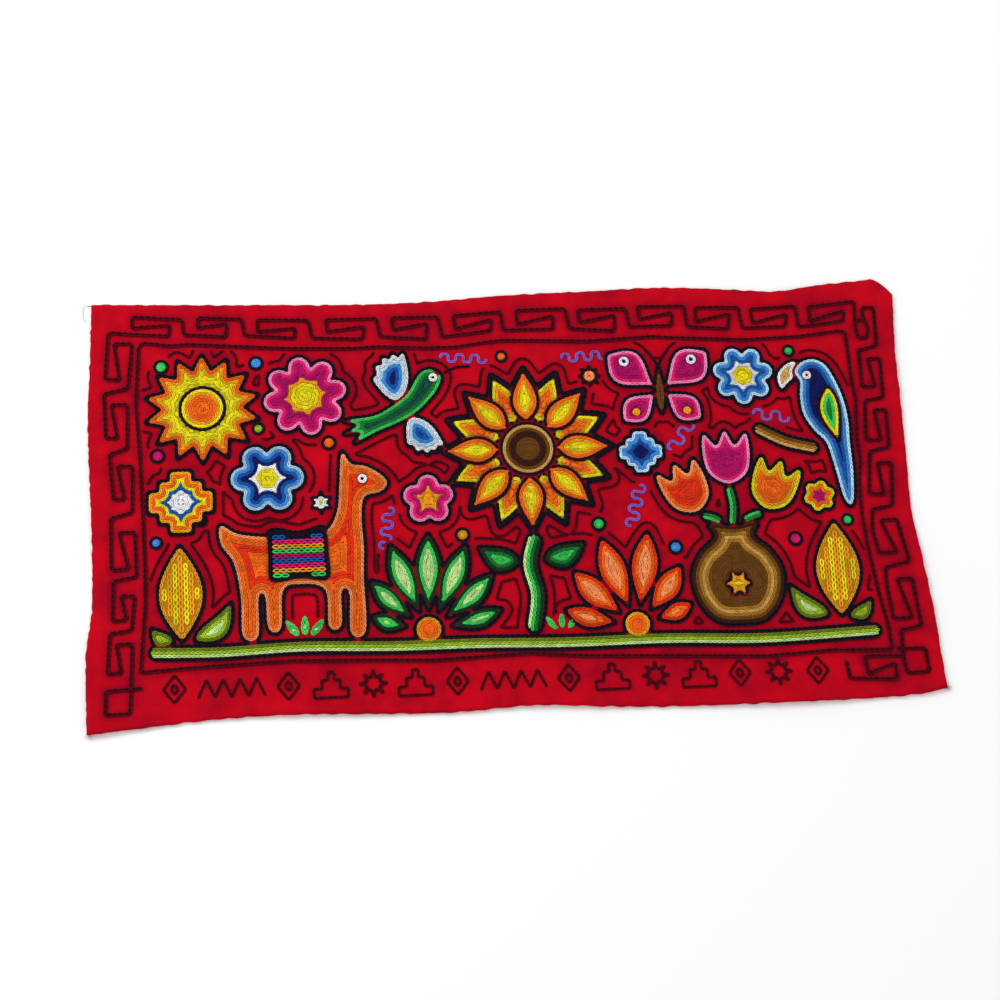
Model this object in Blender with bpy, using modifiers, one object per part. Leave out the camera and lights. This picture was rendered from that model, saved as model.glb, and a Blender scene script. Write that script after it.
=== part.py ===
"""Embroidered wool wall cloth, lying flat.

One red felted ground cloth carries raised pads of chain-stitched wool and a
running fret border in dark yarn. Sizes are millimetres until they reach
Blender, which takes metres. The origin is the middle of the cloth on the
surface that it lies on, +X runs along its long side and +Y to its top edge.
"""
import math
from collections import namedtuple

import bmesh
import bpy
from mathutils import Vector
from mathutils.bvhtree import BVHTree

MM = 0.001

# The ground cloth
CLOTH_THICKNESS = 2.0
GRID_LONG = 40
GRID_SHORT = 20
FLAT_HALF_LENGTH = 384.0
FLAT_HALF_HEIGHT = 181.0
RIM_WIDTH = 52.0
RIM_LIFT = 4.5
RIPPLE_LENGTH = 236.0
RIPPLE_HEIGHT = 208.0

# The stitched work
YARN_GAP = 0.3
PAD_THICKNESS = 1.8
LINE_RADIUS = 1.2
LINE_STEP = 18.0
ROW_PITCH = 3.4

# Edge points of the cut cloth, left to right or bottom to top
TOP_EDGE = [(-428, 223), (-342, 222), (-258, 219), (-175, 216), (-90, 217), (-4, 221), (82, 223),
            (169, 226), (255, 220), (299, 217), (343, 223), (388, 227), (410, 227), (427, 210)]
BOTTOM_EDGE = [(-431, -228), (-385, -224), (-307, -218), (-228, -217), (-149, -220), (-70, -222),
               (10, -219), (90, -224), (171, -227), (253, -228), (335, -228), (400, -226), (432, -221)]
LEFT_EDGE = [(-431, -228), (-432, -182), (-432, -143), (-427, -102), (-427, -40), (-428, 2),
             (-431, 66), (-432, 109), (-430, 153), (-428, 223)]
RIGHT_EDGE = [(432, -221), (430, -182), (428, -140), (422, -76), (418, -32), (420, 34), (421, 101),
              (422, 146), (427, 210)]

# The inner frame line and the fret bands that run outside it
FRAME_SIDES = [
    ("frame_top", [(-379, 180), (-350, 176), (-328, 177), (-290, 174), (-225, 169), (-160, 167), (-130, 168),
                   (-80, 165), (-50, 165), (0, 171), (90, 167), (160, 170), (200, 167), (260, 163), (320, 165),
                   (355, 169), (370, 170)]),
    ("frame_right", [(370, 170), (371, 110), (373, 93), (369, 50), (370, 24), (366, 0), (365, -35), (367, -68),
                     (373, -120), (379, -155), (380, -179)]),
    ("frame_bottom", [(380, -179), (320, -177), (250, -180), (151, -175), (60, -171), (10, -166), (-90, -169),
                      (-150, -166), (-230, -163), (-310, -165), (-379, -168)]),
    ("frame_left", [(-379, -168), (-374, -100), (-374, -65), (-376, -10), (-379, 60), (-383, 112),
                    (-379, 180)]),
]
CORNER_GAP = 1.9
FRETS = {
    "fret_top": [
        (-406, 192), (-349, 187), (-347.5, 199), (-387, 197.5), (-386, 209), (-335, 205),
        (-333, 188), (-289.5, 184.5), (-288.5, 199), (-319, 195), (-318, 206.5), (-273, 203.5),
        (-270, 185.5), (-218.5, 180.5), (-217, 191.5), (-256.5, 189), (-256.5, 202), (-203.5, 199.5),
        (-199.5, 180), (-147, 177), (-145, 191), (-184, 186.5), (-184.5, 199.5), (-131.5, 199.5),
        (-128.5, 179.5), (-80, 175), (-78.5, 192.5), (-114.5, 186.5), (-115.5, 200), (-67, 199.5),
        (-62.5, 177), (-11, 182.5), (-10, 195), (-48.5, 185.5), (-50.5, 200.5), (0, 203),
        (2, 182.5), (55, 182), (56, 196.5), (17, 188.5), (17, 204), (69, 204),
        (73, 182), (120.5, 178), (122, 195.5), (84, 188.5), (82.5, 202.5), (134, 202.5),
        (137, 182), (182.5, 182), (184, 196.5), (148, 190), (147.5, 204.5), (197.5, 203.5),
        (199.5, 180), (243, 176.5), (246, 193), (209.5, 186), (209.5, 201.5), (256, 200),
        (259, 176.5), (305.5, 177), (308, 190.5), (270.5, 182), (269, 197.5), (318.5, 199.5),
        (320, 176), (369.5, 181.5), (371, 193), (333, 182.5), (333.5, 198.5), (383.5, 203),
        (382, 172), (383.5, 161.5), (393, 161), (396, 171), (391, 187), (391.5, 196), (400.5, 195.5)],
    "fret_left": [
        (-412, 187), (-414, 141), (-399.5, 140), (-405, 180), (-386.5, 179.5), (-391, 130.5),
        (-415.5, 125), (-413, 76.5), (-401.5, 76.5), (-408, 113), (-391.5, 113), (-391.5, 65),
        (-409.5, 59), (-405.5, 11), (-394.5, 11), (-401.5, 46.5), (-386.5, 46), (-386.5, -3),
        (-408, -9), (-407.5, -62.5), (-390.5, -62), (-400, -24), (-384, -24), (-382.5, -70.5),
        (-405.5, -74), (-406.5, -115), (-392.5, -114.5), (-398, -89.5), (-384.5, -90), (-387.5, -125),
        (-409, -128), (-411, -168.5), (-397.5, -168), (-402.5, -139), (-387, -139), (-389, -180.5)],
    "fret_right": [
        (404, 191), (402.5, 151.5), (382.5, 147), (381.5, 106), (395.5, 105.5), (391, 137), (404, 137),
        (402.5, 92.5), (382.5, 90), (379, 46), (394.5, 45.5), (391, 79), (403.5, 78.5), (402.5, 37.5),
        (381, 33), (375.5, -13), (391, -14), (388, 20.5), (403, 20), (398.5, -26.5), (376.5, -30),
        (374, -52), (378.5, -77), (397, -77), (384, -42), (401, -42), (408.5, -87.5), (383, -93),
        (382, -112), (385, -147), (404.5, -147), (393.5, -106), (409, -105.5), (413, -156),
        (391.5, -159.5), (390.6, -175.5)],
    "fret_bottom": [
        (330.5, -189), (332.5, -207), (381, -209.5), (381, -193), (352, -203), (350.5, -184.5),
        (385, -185.5)],
}
CORNER_SQUARES = [("corner_square_left", -401, -197.2, 24.4), ("corner_square_right", 403, -191.6, 24.4)]

# Hand-drawn outlines, each around its own origin
LLAMA = [(-66, 94), (-52, 86), (-20, 82), (14, 84), (26, 100), (29, 124), (30, 138), (32, 152), (39, 141),
         (50, 139), (63, 131), (68, 123), (61, 116), (49, 113), (46, 96), (47, 72), (46, 46), (46, 3),
         (34, 2), (34, 34), (28, 36), (27, 8), (17, 8), (15, 38), (-6, 43), (-18, 38), (-20, 8), (-30, 8),
         (-32, 34), (-37, 34), (-38, 2), (-50, 3), (-51, 34), (-56, 62), (-66, 78)]
HUMMINGBIRD = [(54, 18), (48, 29), (36, 31), (25, 24), (10, 13), (-14, 7), (-34, 6), (-64, 14), (-52, 3),
               (-70, 0), (-52, -6), (-64, -14), (-36, -12), (-12, -12), (12, -9), (32, -1), (45, 7)]
WING = [(0, 0), (14, 4), (26, 16), (34, 34), (38, 56), (28, 51), (25, 61), (17, 54), (11, 62), (5, 51),
        (-3, 56), (-6, 42), (-14, 40), (-12, 24), (-8, 10)]
MACAW = [(-6, 62), (-18, 58), (-25, 48), (-20, 38), (-22, 22), (-20, 2), (-10, -16), (0, -28), (6, -56),
         (12, -88), (20, -92), (24, -60), (24, -28), (25, -4), (22, 20), (14, 44), (6, 57)]
BEAK = [(-21, 60), (-33, 57), (-43, 45), (-40, 30), (-33, 37), (-26.5, 42), (-27, 50)]
JUG = [(-22, 50), (-17, 38), (-32, 24), (-41, 4), (-37, -20), (-22, -38), (0, -41), (22, -38), (37, -20),
       (41, 4), (32, 24), (17, 38), (22, 50), (0, 47)]
TULIP = [(0, -16), (-14, -8), (-18, 8), (-16, 24), (-7, 14), (0, 26), (7, 14), (16, 24), (18, 8), (14, -8)]
STEPPED_CROSS = [(1, 3), (1, 2), (2, 2), (2, 1), (3, 1), (3, -1), (2, -1), (2, -2), (1, -2), (1, -3),
                 (-1, -3), (-1, -2), (-2, -2), (-2, -1), (-3, -1), (-3, 1), (-2, 1), (-2, 2), (-1, 2),
                 (-1, 3)]

# Yarn colours, linear, as base_color in the record
YARNS = {
    "red_ground": (0.55, 0.002, 0.012),
    "dark_yarn": (0.026, 0.002, 0.005),
    "gold_yarn": (0.86, 0.42, 0.02),
    "orange_yarn": (0.85, 0.09, 0.015),
    "pink_yarn": (0.78, 0.02, 0.18),
    "blue_yarn": (0.06, 0.25, 0.6),
    "green_yarn": (0.03, 0.4, 0.08),
    "brown_yarn": (0.35, 0.16, 0.03),
}
YARN_ROUGHNESS = 0.85


def smooth_closed(points, steps=2):
    """Points along a smooth closed curve through the given points."""
    count = len(points)
    curve = []
    for index in range(count):
        before, start, end, after = (Vector(points[(index + k) % count]) for k in (-1, 0, 1, 2))
        for step in range(steps):
            curve.append(blend_span(before, start, end, after, step / steps))
    return curve


def smooth_open(points, steps=4):
    """Points along a smooth open curve through the given points."""
    last = len(points) - 1
    curve = []
    for index in range(last):
        before, start, end, after = (
            Vector(points[min(max(index + k, 0), last)]) for k in (-1, 0, 1, 2))
        for step in range(steps):
            curve.append(blend_span(before, start, end, after, step / steps))
    return curve + [Vector(points[-1])]


def blend_span(before, start, end, after, t):
    """One point of the cubic span from start to end."""
    return 0.5 * (2 * start + (end - before) * t
                  + (2 * before - 5 * start + 4 * end - after) * t * t
                  + (3 * start - before - 3 * end + after) * t ** 3)


def polar(radii, start=0.0):
    """Closed outline from radii at even angles."""
    step = 2 * math.pi / len(radii)
    return [Vector((radius * math.cos(start + k * step), radius * math.sin(start + k * step)))
            for k, radius in enumerate(radii)]


def sun(radius=59, inner=41, rays=14):
    return polar([radius, inner] * rays, math.pi / 2)


def bloom(radius=90, inner=62, petals=16):
    """Outline around a full ring of pointed petals."""
    middle = (radius + 2 * inner) / 3 + 2
    return polar([radius, middle, inner, middle] * petals)


def rosette(radius, petals, depth=0.3, steps=6):
    """Round petals, as a wave in the radius."""
    return polar([radius * (1 - depth + depth * abs(math.cos(math.pi * k / steps)) ** 0.7)
                  for k in range(petals * steps)])


def leaf(length, width, bend=0.0, fullness=0.75, steps=10):
    """Pointed leaf along +X from its own root, bent to one side."""
    upper, lower = [], []
    for step in range(steps + 1):
        t = step / steps
        half = width / 2 * math.sin(math.pi * t ** fullness)
        middle = bend * length * math.sin(math.pi * t)
        upper.append(Vector((t * length, middle + half)))
        lower.append(Vector((t * length, middle - half)))
    return upper + lower[-2:0:-1]


def stem(points, rows):
    """Band of parallel rows with round ends around an open curve."""
    curve = smooth_open(points)
    half = ROW_PITCH * rows / 2
    left, right = [], []
    for index, point in enumerate(curve):
        along = (curve[min(index + 1, len(curve) - 1)] - curve[max(index - 1, 0)]).normalized()
        side = Vector((-along.y, along.x)) * half
        left.append(point + side)
        right.append(point - side)
    tip = (curve[-1] - curve[-2]).normalized() * half
    root = (curve[0] - curve[1]).normalized() * half
    end_cap = [curve[-1] + Vector((tip.x * c - tip.y * s, tip.x * s + tip.y * c))
               for c, s in ((0.707, 0.707), (1, 0), (0.707, -0.707))]
    start_cap = [curve[0] + Vector((root.x * c - root.y * s, root.x * s + root.y * c))
                 for c, s in ((0.707, 0.707), (1, 0), (0.707, -0.707))]
    return left + end_cap + right[::-1] + start_cap


def placed(outline, x=0.0, y=0.0, turn=0.0, size=1.0, mirror=False):
    """An outline scaled, mirrored, turned by degrees and moved."""
    cos_turn, sin_turn = math.cos(math.radians(turn)), math.sin(math.radians(turn))
    flip = -1 if mirror else 1
    moved = []
    for point in outline:
        px, py = point[0] * size * flip, point[1] * size
        moved.append(Vector((px * cos_turn - py * sin_turn + x, px * sin_turn + py * cos_turn + y)))
    return moved


Pad = namedtuple("Pad", "node outline x y turn size mirror yarn", defaults=(0, 1.0, False, "gold_yarn"))
PADS = [
    Pad("llama", smooth_closed(LLAMA), -214, -140, 0, 1.28, False, "orange_yarn"),
    Pad("sun", sun(), -315, 106, 0, 1, False, "gold_yarn"),
    Pad("sunflower", bloom(), 20, 50, 0, 1, False, "gold_yarn"),
    Pad("hummingbird", smooth_closed(HUMMINGBIRD), -108, 98, 22, 0.96, False, "green_yarn"),
    Pad("wing_up", smooth_closed(WING), -115, 107.5, 24, 0.81, False, "blue_yarn"),
    Pad("wing_down", smooth_closed(WING), -101, 88, 192, 0.7, True, "blue_yarn"),
    Pad("macaw", smooth_closed(MACAW), 336, 74, 0, 1.05, False, "blue_yarn"),
    Pad("macaw_beak", smooth_closed(BEAK), 336, 74, 0, 1.05, False, "gold_yarn"),
    Pad("jug", smooth_closed(JUG), 228, -97, 0, 1.16, False, "brown_yarn"),
    Pad("tulip_left", smooth_closed(TULIP), 184, -5, 22, 1.35, False, "orange_yarn"),
    Pad("tulip_middle", smooth_closed(TULIP), 228, 26, 0, 1.4, False, "pink_yarn"),
    Pad("tulip_right", smooth_closed(TULIP), 273, -5, -22, 1.35, False, "gold_yarn"),
    Pad("wing_left_upper", leaf(60, 40, 0, 1.35), 158, 114, 142, 1, False, "pink_yarn"),
    Pad("wing_left_lower", leaf(46, 30, 0, 1.3), 158, 106, 220, 1, False, "pink_yarn"),
    Pad("wing_right_upper", leaf(60, 40, 0, 1.35), 170, 114, 38, 1, False, "pink_yarn"),
    Pad("wing_right_lower", leaf(46, 30, 0, 1.3), 170, 106, -40, 1, False, "pink_yarn"),
    Pad("rosette_pink", rosette(44, 8), -209, 116, 10, 1, False, "pink_yarn"),
    Pad("rosette_sky", rosette(33, 7), 254, 123, 10, 1, False, "blue_yarn"),
    Pad("rosette_ice", rosette(38, 6), -250, 28, 0, 1, False, "blue_yarn"),
    Pad("rosette_gold", rosette(17.5, 6), 322, -13, 15, 1, False, "gold_yarn"),
    Pad("blossom", rosette(27, 5), -86, -1, 18, 1, False, "pink_yarn"),
    Pad("cross_gold", STEPPED_CROSS, -338, 6, 0, 10.8, False, "gold_yarn"),
    Pad("cross_sky", STEPPED_CROSS, 138, 42, 0, 7.6, False, "blue_yarn"),
    Pad("maize_left", leaf(98, 44, 0, 0.95), -338, -138, 91, 1, False, "gold_yarn"),
    Pad("maize_right", leaf(100, 46, 0, 0.95), 332, -141, 89, 1, False, "gold_yarn"),
    Pad("husk_left_b", leaf(52, 21, -0.16), -325, -138, 46, 1, False, "green_yarn"),
    Pad("husk_right_a", leaf(50, 21, 0.16), 318, -140, 138, 1, False, "green_yarn"),
    Pad("husk_right_b", leaf(30, 15, -0.16), 340, -143, 36, 1, False, "green_yarn"),
    Pad("stem_leaf_left", leaf(44, 24, 0.1), 3, -72, 156, 1, False, "green_yarn"),
    Pad("stem_leaf_right", leaf(45, 24, -0.1), 30, -70, 22, 1, False, "green_yarn"),
]

Band = namedtuple("Band", "node points rows yarn")
BANDS = [
    Band("ground_band", [(-364, -149), (-300, -151), (-220, -149), (-130, -152.5), (-40, -153.5),
                         (50, -156.5), (150, -157), (250, -161), (364, -158)], 3.2, "green_yarn"),
    Band("sunflower_stem", [(20, -50), (14, -74), (20, -106), (15, -137)], 4.2, "green_yarn"),
    Band("branch", [(266, 62), (292, 48), (321, 40)], 3.2, "brown_yarn"),
    Band("tulip_stem_left", [(213, -35), (207, -32), (200, -30)], 2.2, "green_yarn"),
    Band("tulip_stem_middle", [(228, -36), (230, -20), (228, -3)], 2.2, "green_yarn"),
    Band("tulip_stem_right", [(243, -35), (249, -32), (256, -30)], 2.2, "green_yarn"),
]

Fan = namedtuple("Fan", "node x y yarn leaves")
FanLeaf = namedtuple("FanLeaf", "angle length width bend")
FAN_ROOT_RADIUS = 24
FAN_FULLNESS = 1.15
FANS = [
    Fan("agave", -92, -141, "green_yarn", [
        FanLeaf(161, 36, 17, 0.04), FanLeaf(135, 56, 21, 0.03), FanLeaf(111, 76, 25, 0.01),
        FanLeaf(88, 80, 26, 0), FanLeaf(65, 76, 25, -0.01), FanLeaf(41, 66, 22, -0.03),
        FanLeaf(16, 54, 18, -0.04)]),
    Fan("flame", 120, -145, "orange_yarn", [
        FanLeaf(163, 52, 20, 0.04), FanLeaf(135, 63, 25, 0.03), FanLeaf(108, 76, 27, 0.01),
        FanLeaf(80, 78, 27, -0.01), FanLeaf(52, 56, 24, -0.03), FanLeaf(22, 38, 18, -0.04)]),
]


def clear_scene():
    for leftover in list(bpy.data.objects):
        bpy.data.objects.remove(leftover)


def make_materials():
    materials = {}
    for name, colour in YARNS.items():
        material = bpy.data.materials.new(name)
        material.use_nodes = True
        shader = material.node_tree.nodes["Principled BSDF"]
        shader.inputs["Base Color"].default_value = (*colour, 1.0)
        shader.inputs["Roughness"].default_value = YARN_ROUGHNESS
        shader.inputs["Metallic"].default_value = 0.0
        materials[name] = material
    return materials


def along_edge(points, t):
    """Point at the share t of an edge's length, on its smooth curve."""
    curve = smooth_open(points, 6)
    lengths = [0.0]
    for start, end in zip(curve, curve[1:]):
        lengths.append(lengths[-1] + (end - start).length)
    target = t * lengths[-1]
    for index in range(1, len(curve)):
        if lengths[index] >= target:
            share = (target - lengths[index - 1]) / (lengths[index] - lengths[index - 1])
            return curve[index - 1].lerp(curve[index], share)
    return curve[-1]


def rim_lift(x, y):
    """How far the rim waves up from the surface; nothing inside the flat middle."""
    over_x = max(0.0, abs(x) - FLAT_HALF_LENGTH) / RIM_WIDTH
    over_y = max(0.0, abs(y) - FLAT_HALF_HEIGHT) / RIM_WIDTH
    rise = min(1.0, math.hypot(over_x, over_y)) ** 1.5
    wave = math.sin(2 * math.pi * x / RIPPLE_LENGTH + 0.7) * math.cos(2 * math.pi * y / RIPPLE_HEIGHT - 0.4)
    return RIM_LIFT * rise * (0.5 + 0.5 * wave)


def make_cloth(collection, material):
    """The cut sheet: a grid stretched between its four edges, then given its thickness."""
    shape = bmesh.new()
    bmesh.ops.create_grid(shape, x_segments=GRID_LONG, y_segments=GRID_SHORT, size=0.5)
    tops = [along_edge(TOP_EDGE, k / GRID_LONG) for k in range(GRID_LONG + 1)]
    bottoms = [along_edge(BOTTOM_EDGE, k / GRID_LONG) for k in range(GRID_LONG + 1)]
    lefts = [along_edge(LEFT_EDGE, k / GRID_SHORT) for k in range(GRID_SHORT + 1)]
    rights = [along_edge(RIGHT_EDGE, k / GRID_SHORT) for k in range(GRID_SHORT + 1)]
    for vertex in shape.verts:
        u, v = vertex.co.x + 0.5, vertex.co.y + 0.5
        column, row = round(u * GRID_LONG), round(v * GRID_SHORT)
        spot = (bottoms[column] * (1 - v) + tops[column] * v + lefts[row] * (1 - u) + rights[row] * u
                - (bottoms[0] * (1 - v) + tops[0] * v) * (1 - u)
                - (bottoms[-1] * (1 - v) + tops[-1] * v) * u)
        vertex.co = (spot.x, spot.y, 0.0)
    middle_x = (max(v.co.x for v in shape.verts) + min(v.co.x for v in shape.verts)) / 2
    middle_y = (max(v.co.y for v in shape.verts) + min(v.co.y for v in shape.verts)) / 2
    for vertex in shape.verts:
        x, y = vertex.co.x - middle_x, vertex.co.y - middle_y
        vertex.co = Vector((x, y, rim_lift(x, y) + CLOTH_THICKNESS)) * MM
    mesh = bpy.data.meshes.new("ground_cloth")
    shape.to_mesh(mesh)
    shape.free()
    mesh.shade_smooth()
    cloth = bpy.data.objects.new("ground_cloth", mesh)
    cloth.data.materials.append(material)
    collection.objects.link(cloth)
    thickness = cloth.modifiers.new("thickness", "SOLIDIFY")
    thickness.thickness = CLOTH_THICKNESS * MM
    thickness.offset = -1
    return cloth


def cloth_top(mesh):
    """A look-up of the height of the cloth's upper face, in millimetres."""
    tree = BVHTree.FromPolygons([v.co for v in mesh.vertices], [p.vertices for p in mesh.polygons])

    def height(x, y):
        hit = tree.ray_cast(Vector((x * MM, y * MM, 1.0)), Vector((0, 0, -1)))[0]
        return hit.z / MM
    return height


def make_pad(collection, material, name, outline):
    """A pad of stitched rows: a filled outline with half its thickness each way."""
    curve = bpy.data.curves.new(name, "CURVE")
    curve.dimensions = "2D"
    curve.fill_mode = "BOTH"
    curve.extrude = PAD_THICKNESS / 2 * MM
    spline = curve.splines.new("POLY")
    spline.points.add(len(outline) - 1)
    for point, spot in zip(spline.points, outline):
        point.co = (spot[0] * MM, spot[1] * MM, 0.0, 1.0)
    spline.use_cyclic_u = True
    pad = bpy.data.objects.new(name, curve)
    pad.location.z = (CLOTH_THICKNESS + YARN_GAP + PAD_THICKNESS / 2) * MM
    curve.materials.append(material)
    collection.objects.link(pad)


def divided(points, closed):
    """The same line with no two points further apart than the line step, so that it follows the cloth."""
    spots = [Vector(point) for point in points]
    ends = spots[1:] + spots[:1] if closed else spots[1:]
    fine = []
    for start, end in zip(spots, ends):
        pieces = math.ceil((end - start).length / LINE_STEP)
        fine += [start.lerp(end, piece / pieces) for piece in range(pieces)]
    return fine if closed else fine + [spots[-1]]


def make_line(collection, material, name, points, height, closed=False):
    """A single row of dark stitches, as a thin tube lying on the cloth."""
    spots = divided(points, closed)
    curve = bpy.data.curves.new(name, "CURVE")
    curve.dimensions = "3D"
    curve.bevel_depth = LINE_RADIUS * MM
    curve.bevel_resolution = 1
    curve.use_fill_caps = True
    spline = curve.splines.new("POLY")
    spline.points.add(len(spots) - 1)
    for point, (x, y) in zip(spline.points, spots):
        z = height(x, y) + YARN_GAP + LINE_RADIUS
        point.co = (x * MM, y * MM, z * MM, 1.0)
    spline.use_cyclic_u = closed
    line = bpy.data.objects.new(name, curve)
    curve.materials.append(material)
    collection.objects.link(line)


def square_points(x, y, side):
    half = side / 2
    return [(x - half, y - half), (x + half, y - half), (x + half, y + half), (x - half, y + half)]


def build():
    clear_scene()
    collection = bpy.data.collections.new("embroidered_wall_cloth")
    bpy.context.scene.collection.children.link(collection)
    materials = make_materials()
    cloth = make_cloth(collection, materials["red_ground"])
    height = cloth_top(cloth.data)
    for pad in PADS:
        outline = placed(pad.outline, pad.x, pad.y, pad.turn, pad.size, pad.mirror)
        make_pad(collection, materials[pad.yarn], pad.node, outline)
    for band in BANDS:
        make_pad(collection, materials[band.yarn], band.node, stem(band.points, band.rows))
    for fan in FANS:
        for index, blade in enumerate(fan.leaves):
            turn = math.radians(blade.angle)
            root_x = fan.x + FAN_ROOT_RADIUS * math.cos(turn)
            root_y = fan.y + FAN_ROOT_RADIUS * math.sin(turn)
            outline = placed(leaf(blade.length, blade.width, blade.bend, FAN_FULLNESS), root_x, root_y,
                             blade.angle)
            make_pad(collection, materials[fan.yarn], f"{fan.node}_{index}", outline)
    dark = materials["dark_yarn"]
    for name, side in FRAME_SIDES:
        start, second = Vector(side[0]), Vector(side[1])
        start += (second - start).normalized() * CORNER_GAP
        make_line(collection, dark, name, [start] + side[1:], height)
    for name, points in FRETS.items():
        make_line(collection, dark, name, [Vector(spot) for spot in points], height)
    for name, x, y, side in CORNER_SQUARES:
        make_line(collection, dark, name, square_points(x, y, side), height, closed=True)


build()
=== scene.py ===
"""Looks of an embroidered wool wall cloth, made around its fixed frame.

A red felted ground cloth with cut, frayed edges carries chain-stitched wool: a
folk garden of flowers, birds and a llama, a frame line, a running fret border
and a row of small signs. Sizes in the tables are millimetres; +X runs along
the long side, +Y to the top edge and +Z up out of the worked face.
"""

import math
from collections import namedtuple

import bmesh
import bpy
import numpy as np
from bpy.props import FloatProperty, FloatVectorProperty, IntProperty, PointerProperty
from mathutils import Matrix, Vector


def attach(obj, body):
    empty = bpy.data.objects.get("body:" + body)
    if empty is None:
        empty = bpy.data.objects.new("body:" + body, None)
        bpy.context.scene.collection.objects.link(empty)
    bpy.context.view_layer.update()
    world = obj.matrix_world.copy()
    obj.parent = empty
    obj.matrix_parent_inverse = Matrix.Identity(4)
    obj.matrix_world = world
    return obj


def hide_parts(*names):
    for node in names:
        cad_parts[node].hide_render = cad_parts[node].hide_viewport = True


bl_info = {
    "name": "Embroidered wall cloth",
    "version": (1, 0, 0),
    "blender": (4, 5, 0),
    "location": "View3D > Sidebar > Wall cloth",
    "description": "Felted red cloth with chain-stitched wool and frayed edges",
    "category": "Object",
}

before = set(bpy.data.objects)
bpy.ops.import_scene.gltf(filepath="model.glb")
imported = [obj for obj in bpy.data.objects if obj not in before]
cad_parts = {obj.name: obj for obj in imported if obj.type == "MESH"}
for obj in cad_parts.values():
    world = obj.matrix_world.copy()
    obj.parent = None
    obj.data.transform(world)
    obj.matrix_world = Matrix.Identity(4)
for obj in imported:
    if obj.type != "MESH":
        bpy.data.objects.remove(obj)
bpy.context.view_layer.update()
MM = 0.001

# Edge points of the cut cloth, left to right or bottom to top
TOP_EDGE = [(-428, 223), (-342, 222), (-258, 219), (-175, 216), (-90, 217), (-4, 221), (82, 223),
            (169, 226), (255, 220), (299, 217), (343, 223), (388, 227), (410, 227), (427, 210)]
BOTTOM_EDGE = [(-431, -228), (-385, -224), (-307, -218), (-228, -217), (-149, -220), (-70, -222),
               (10, -219), (90, -224), (171, -227), (253, -228), (335, -228), (400, -226), (432, -221)]
LEFT_EDGE = [(-431, -228), (-432, -182), (-432, -143), (-427, -102), (-427, -40), (-428, 2),
             (-431, 66), (-432, 109), (-430, 153), (-428, 223)]
RIGHT_EDGE = [(432, -221), (430, -182), (428, -140), (422, -76), (418, -32), (420, 34), (421, 101),
              (422, 146), (427, 210)]
# The cloth's worked face: its flat middle, and how the rim round it lifts and ripples
CLOTH_SIZE = (0.865, 0.456)
CLOTH_TOP = 2.0
FLAT_HALF_LENGTH = 384.0
FLAT_HALF_HEIGHT = 181.0
RIM_WIDTH = 52.0
RIM_LIFT = 4.5
RIPPLE_LENGTH = 236.0
RIPPLE_HEIGHT = 208.0

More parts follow.
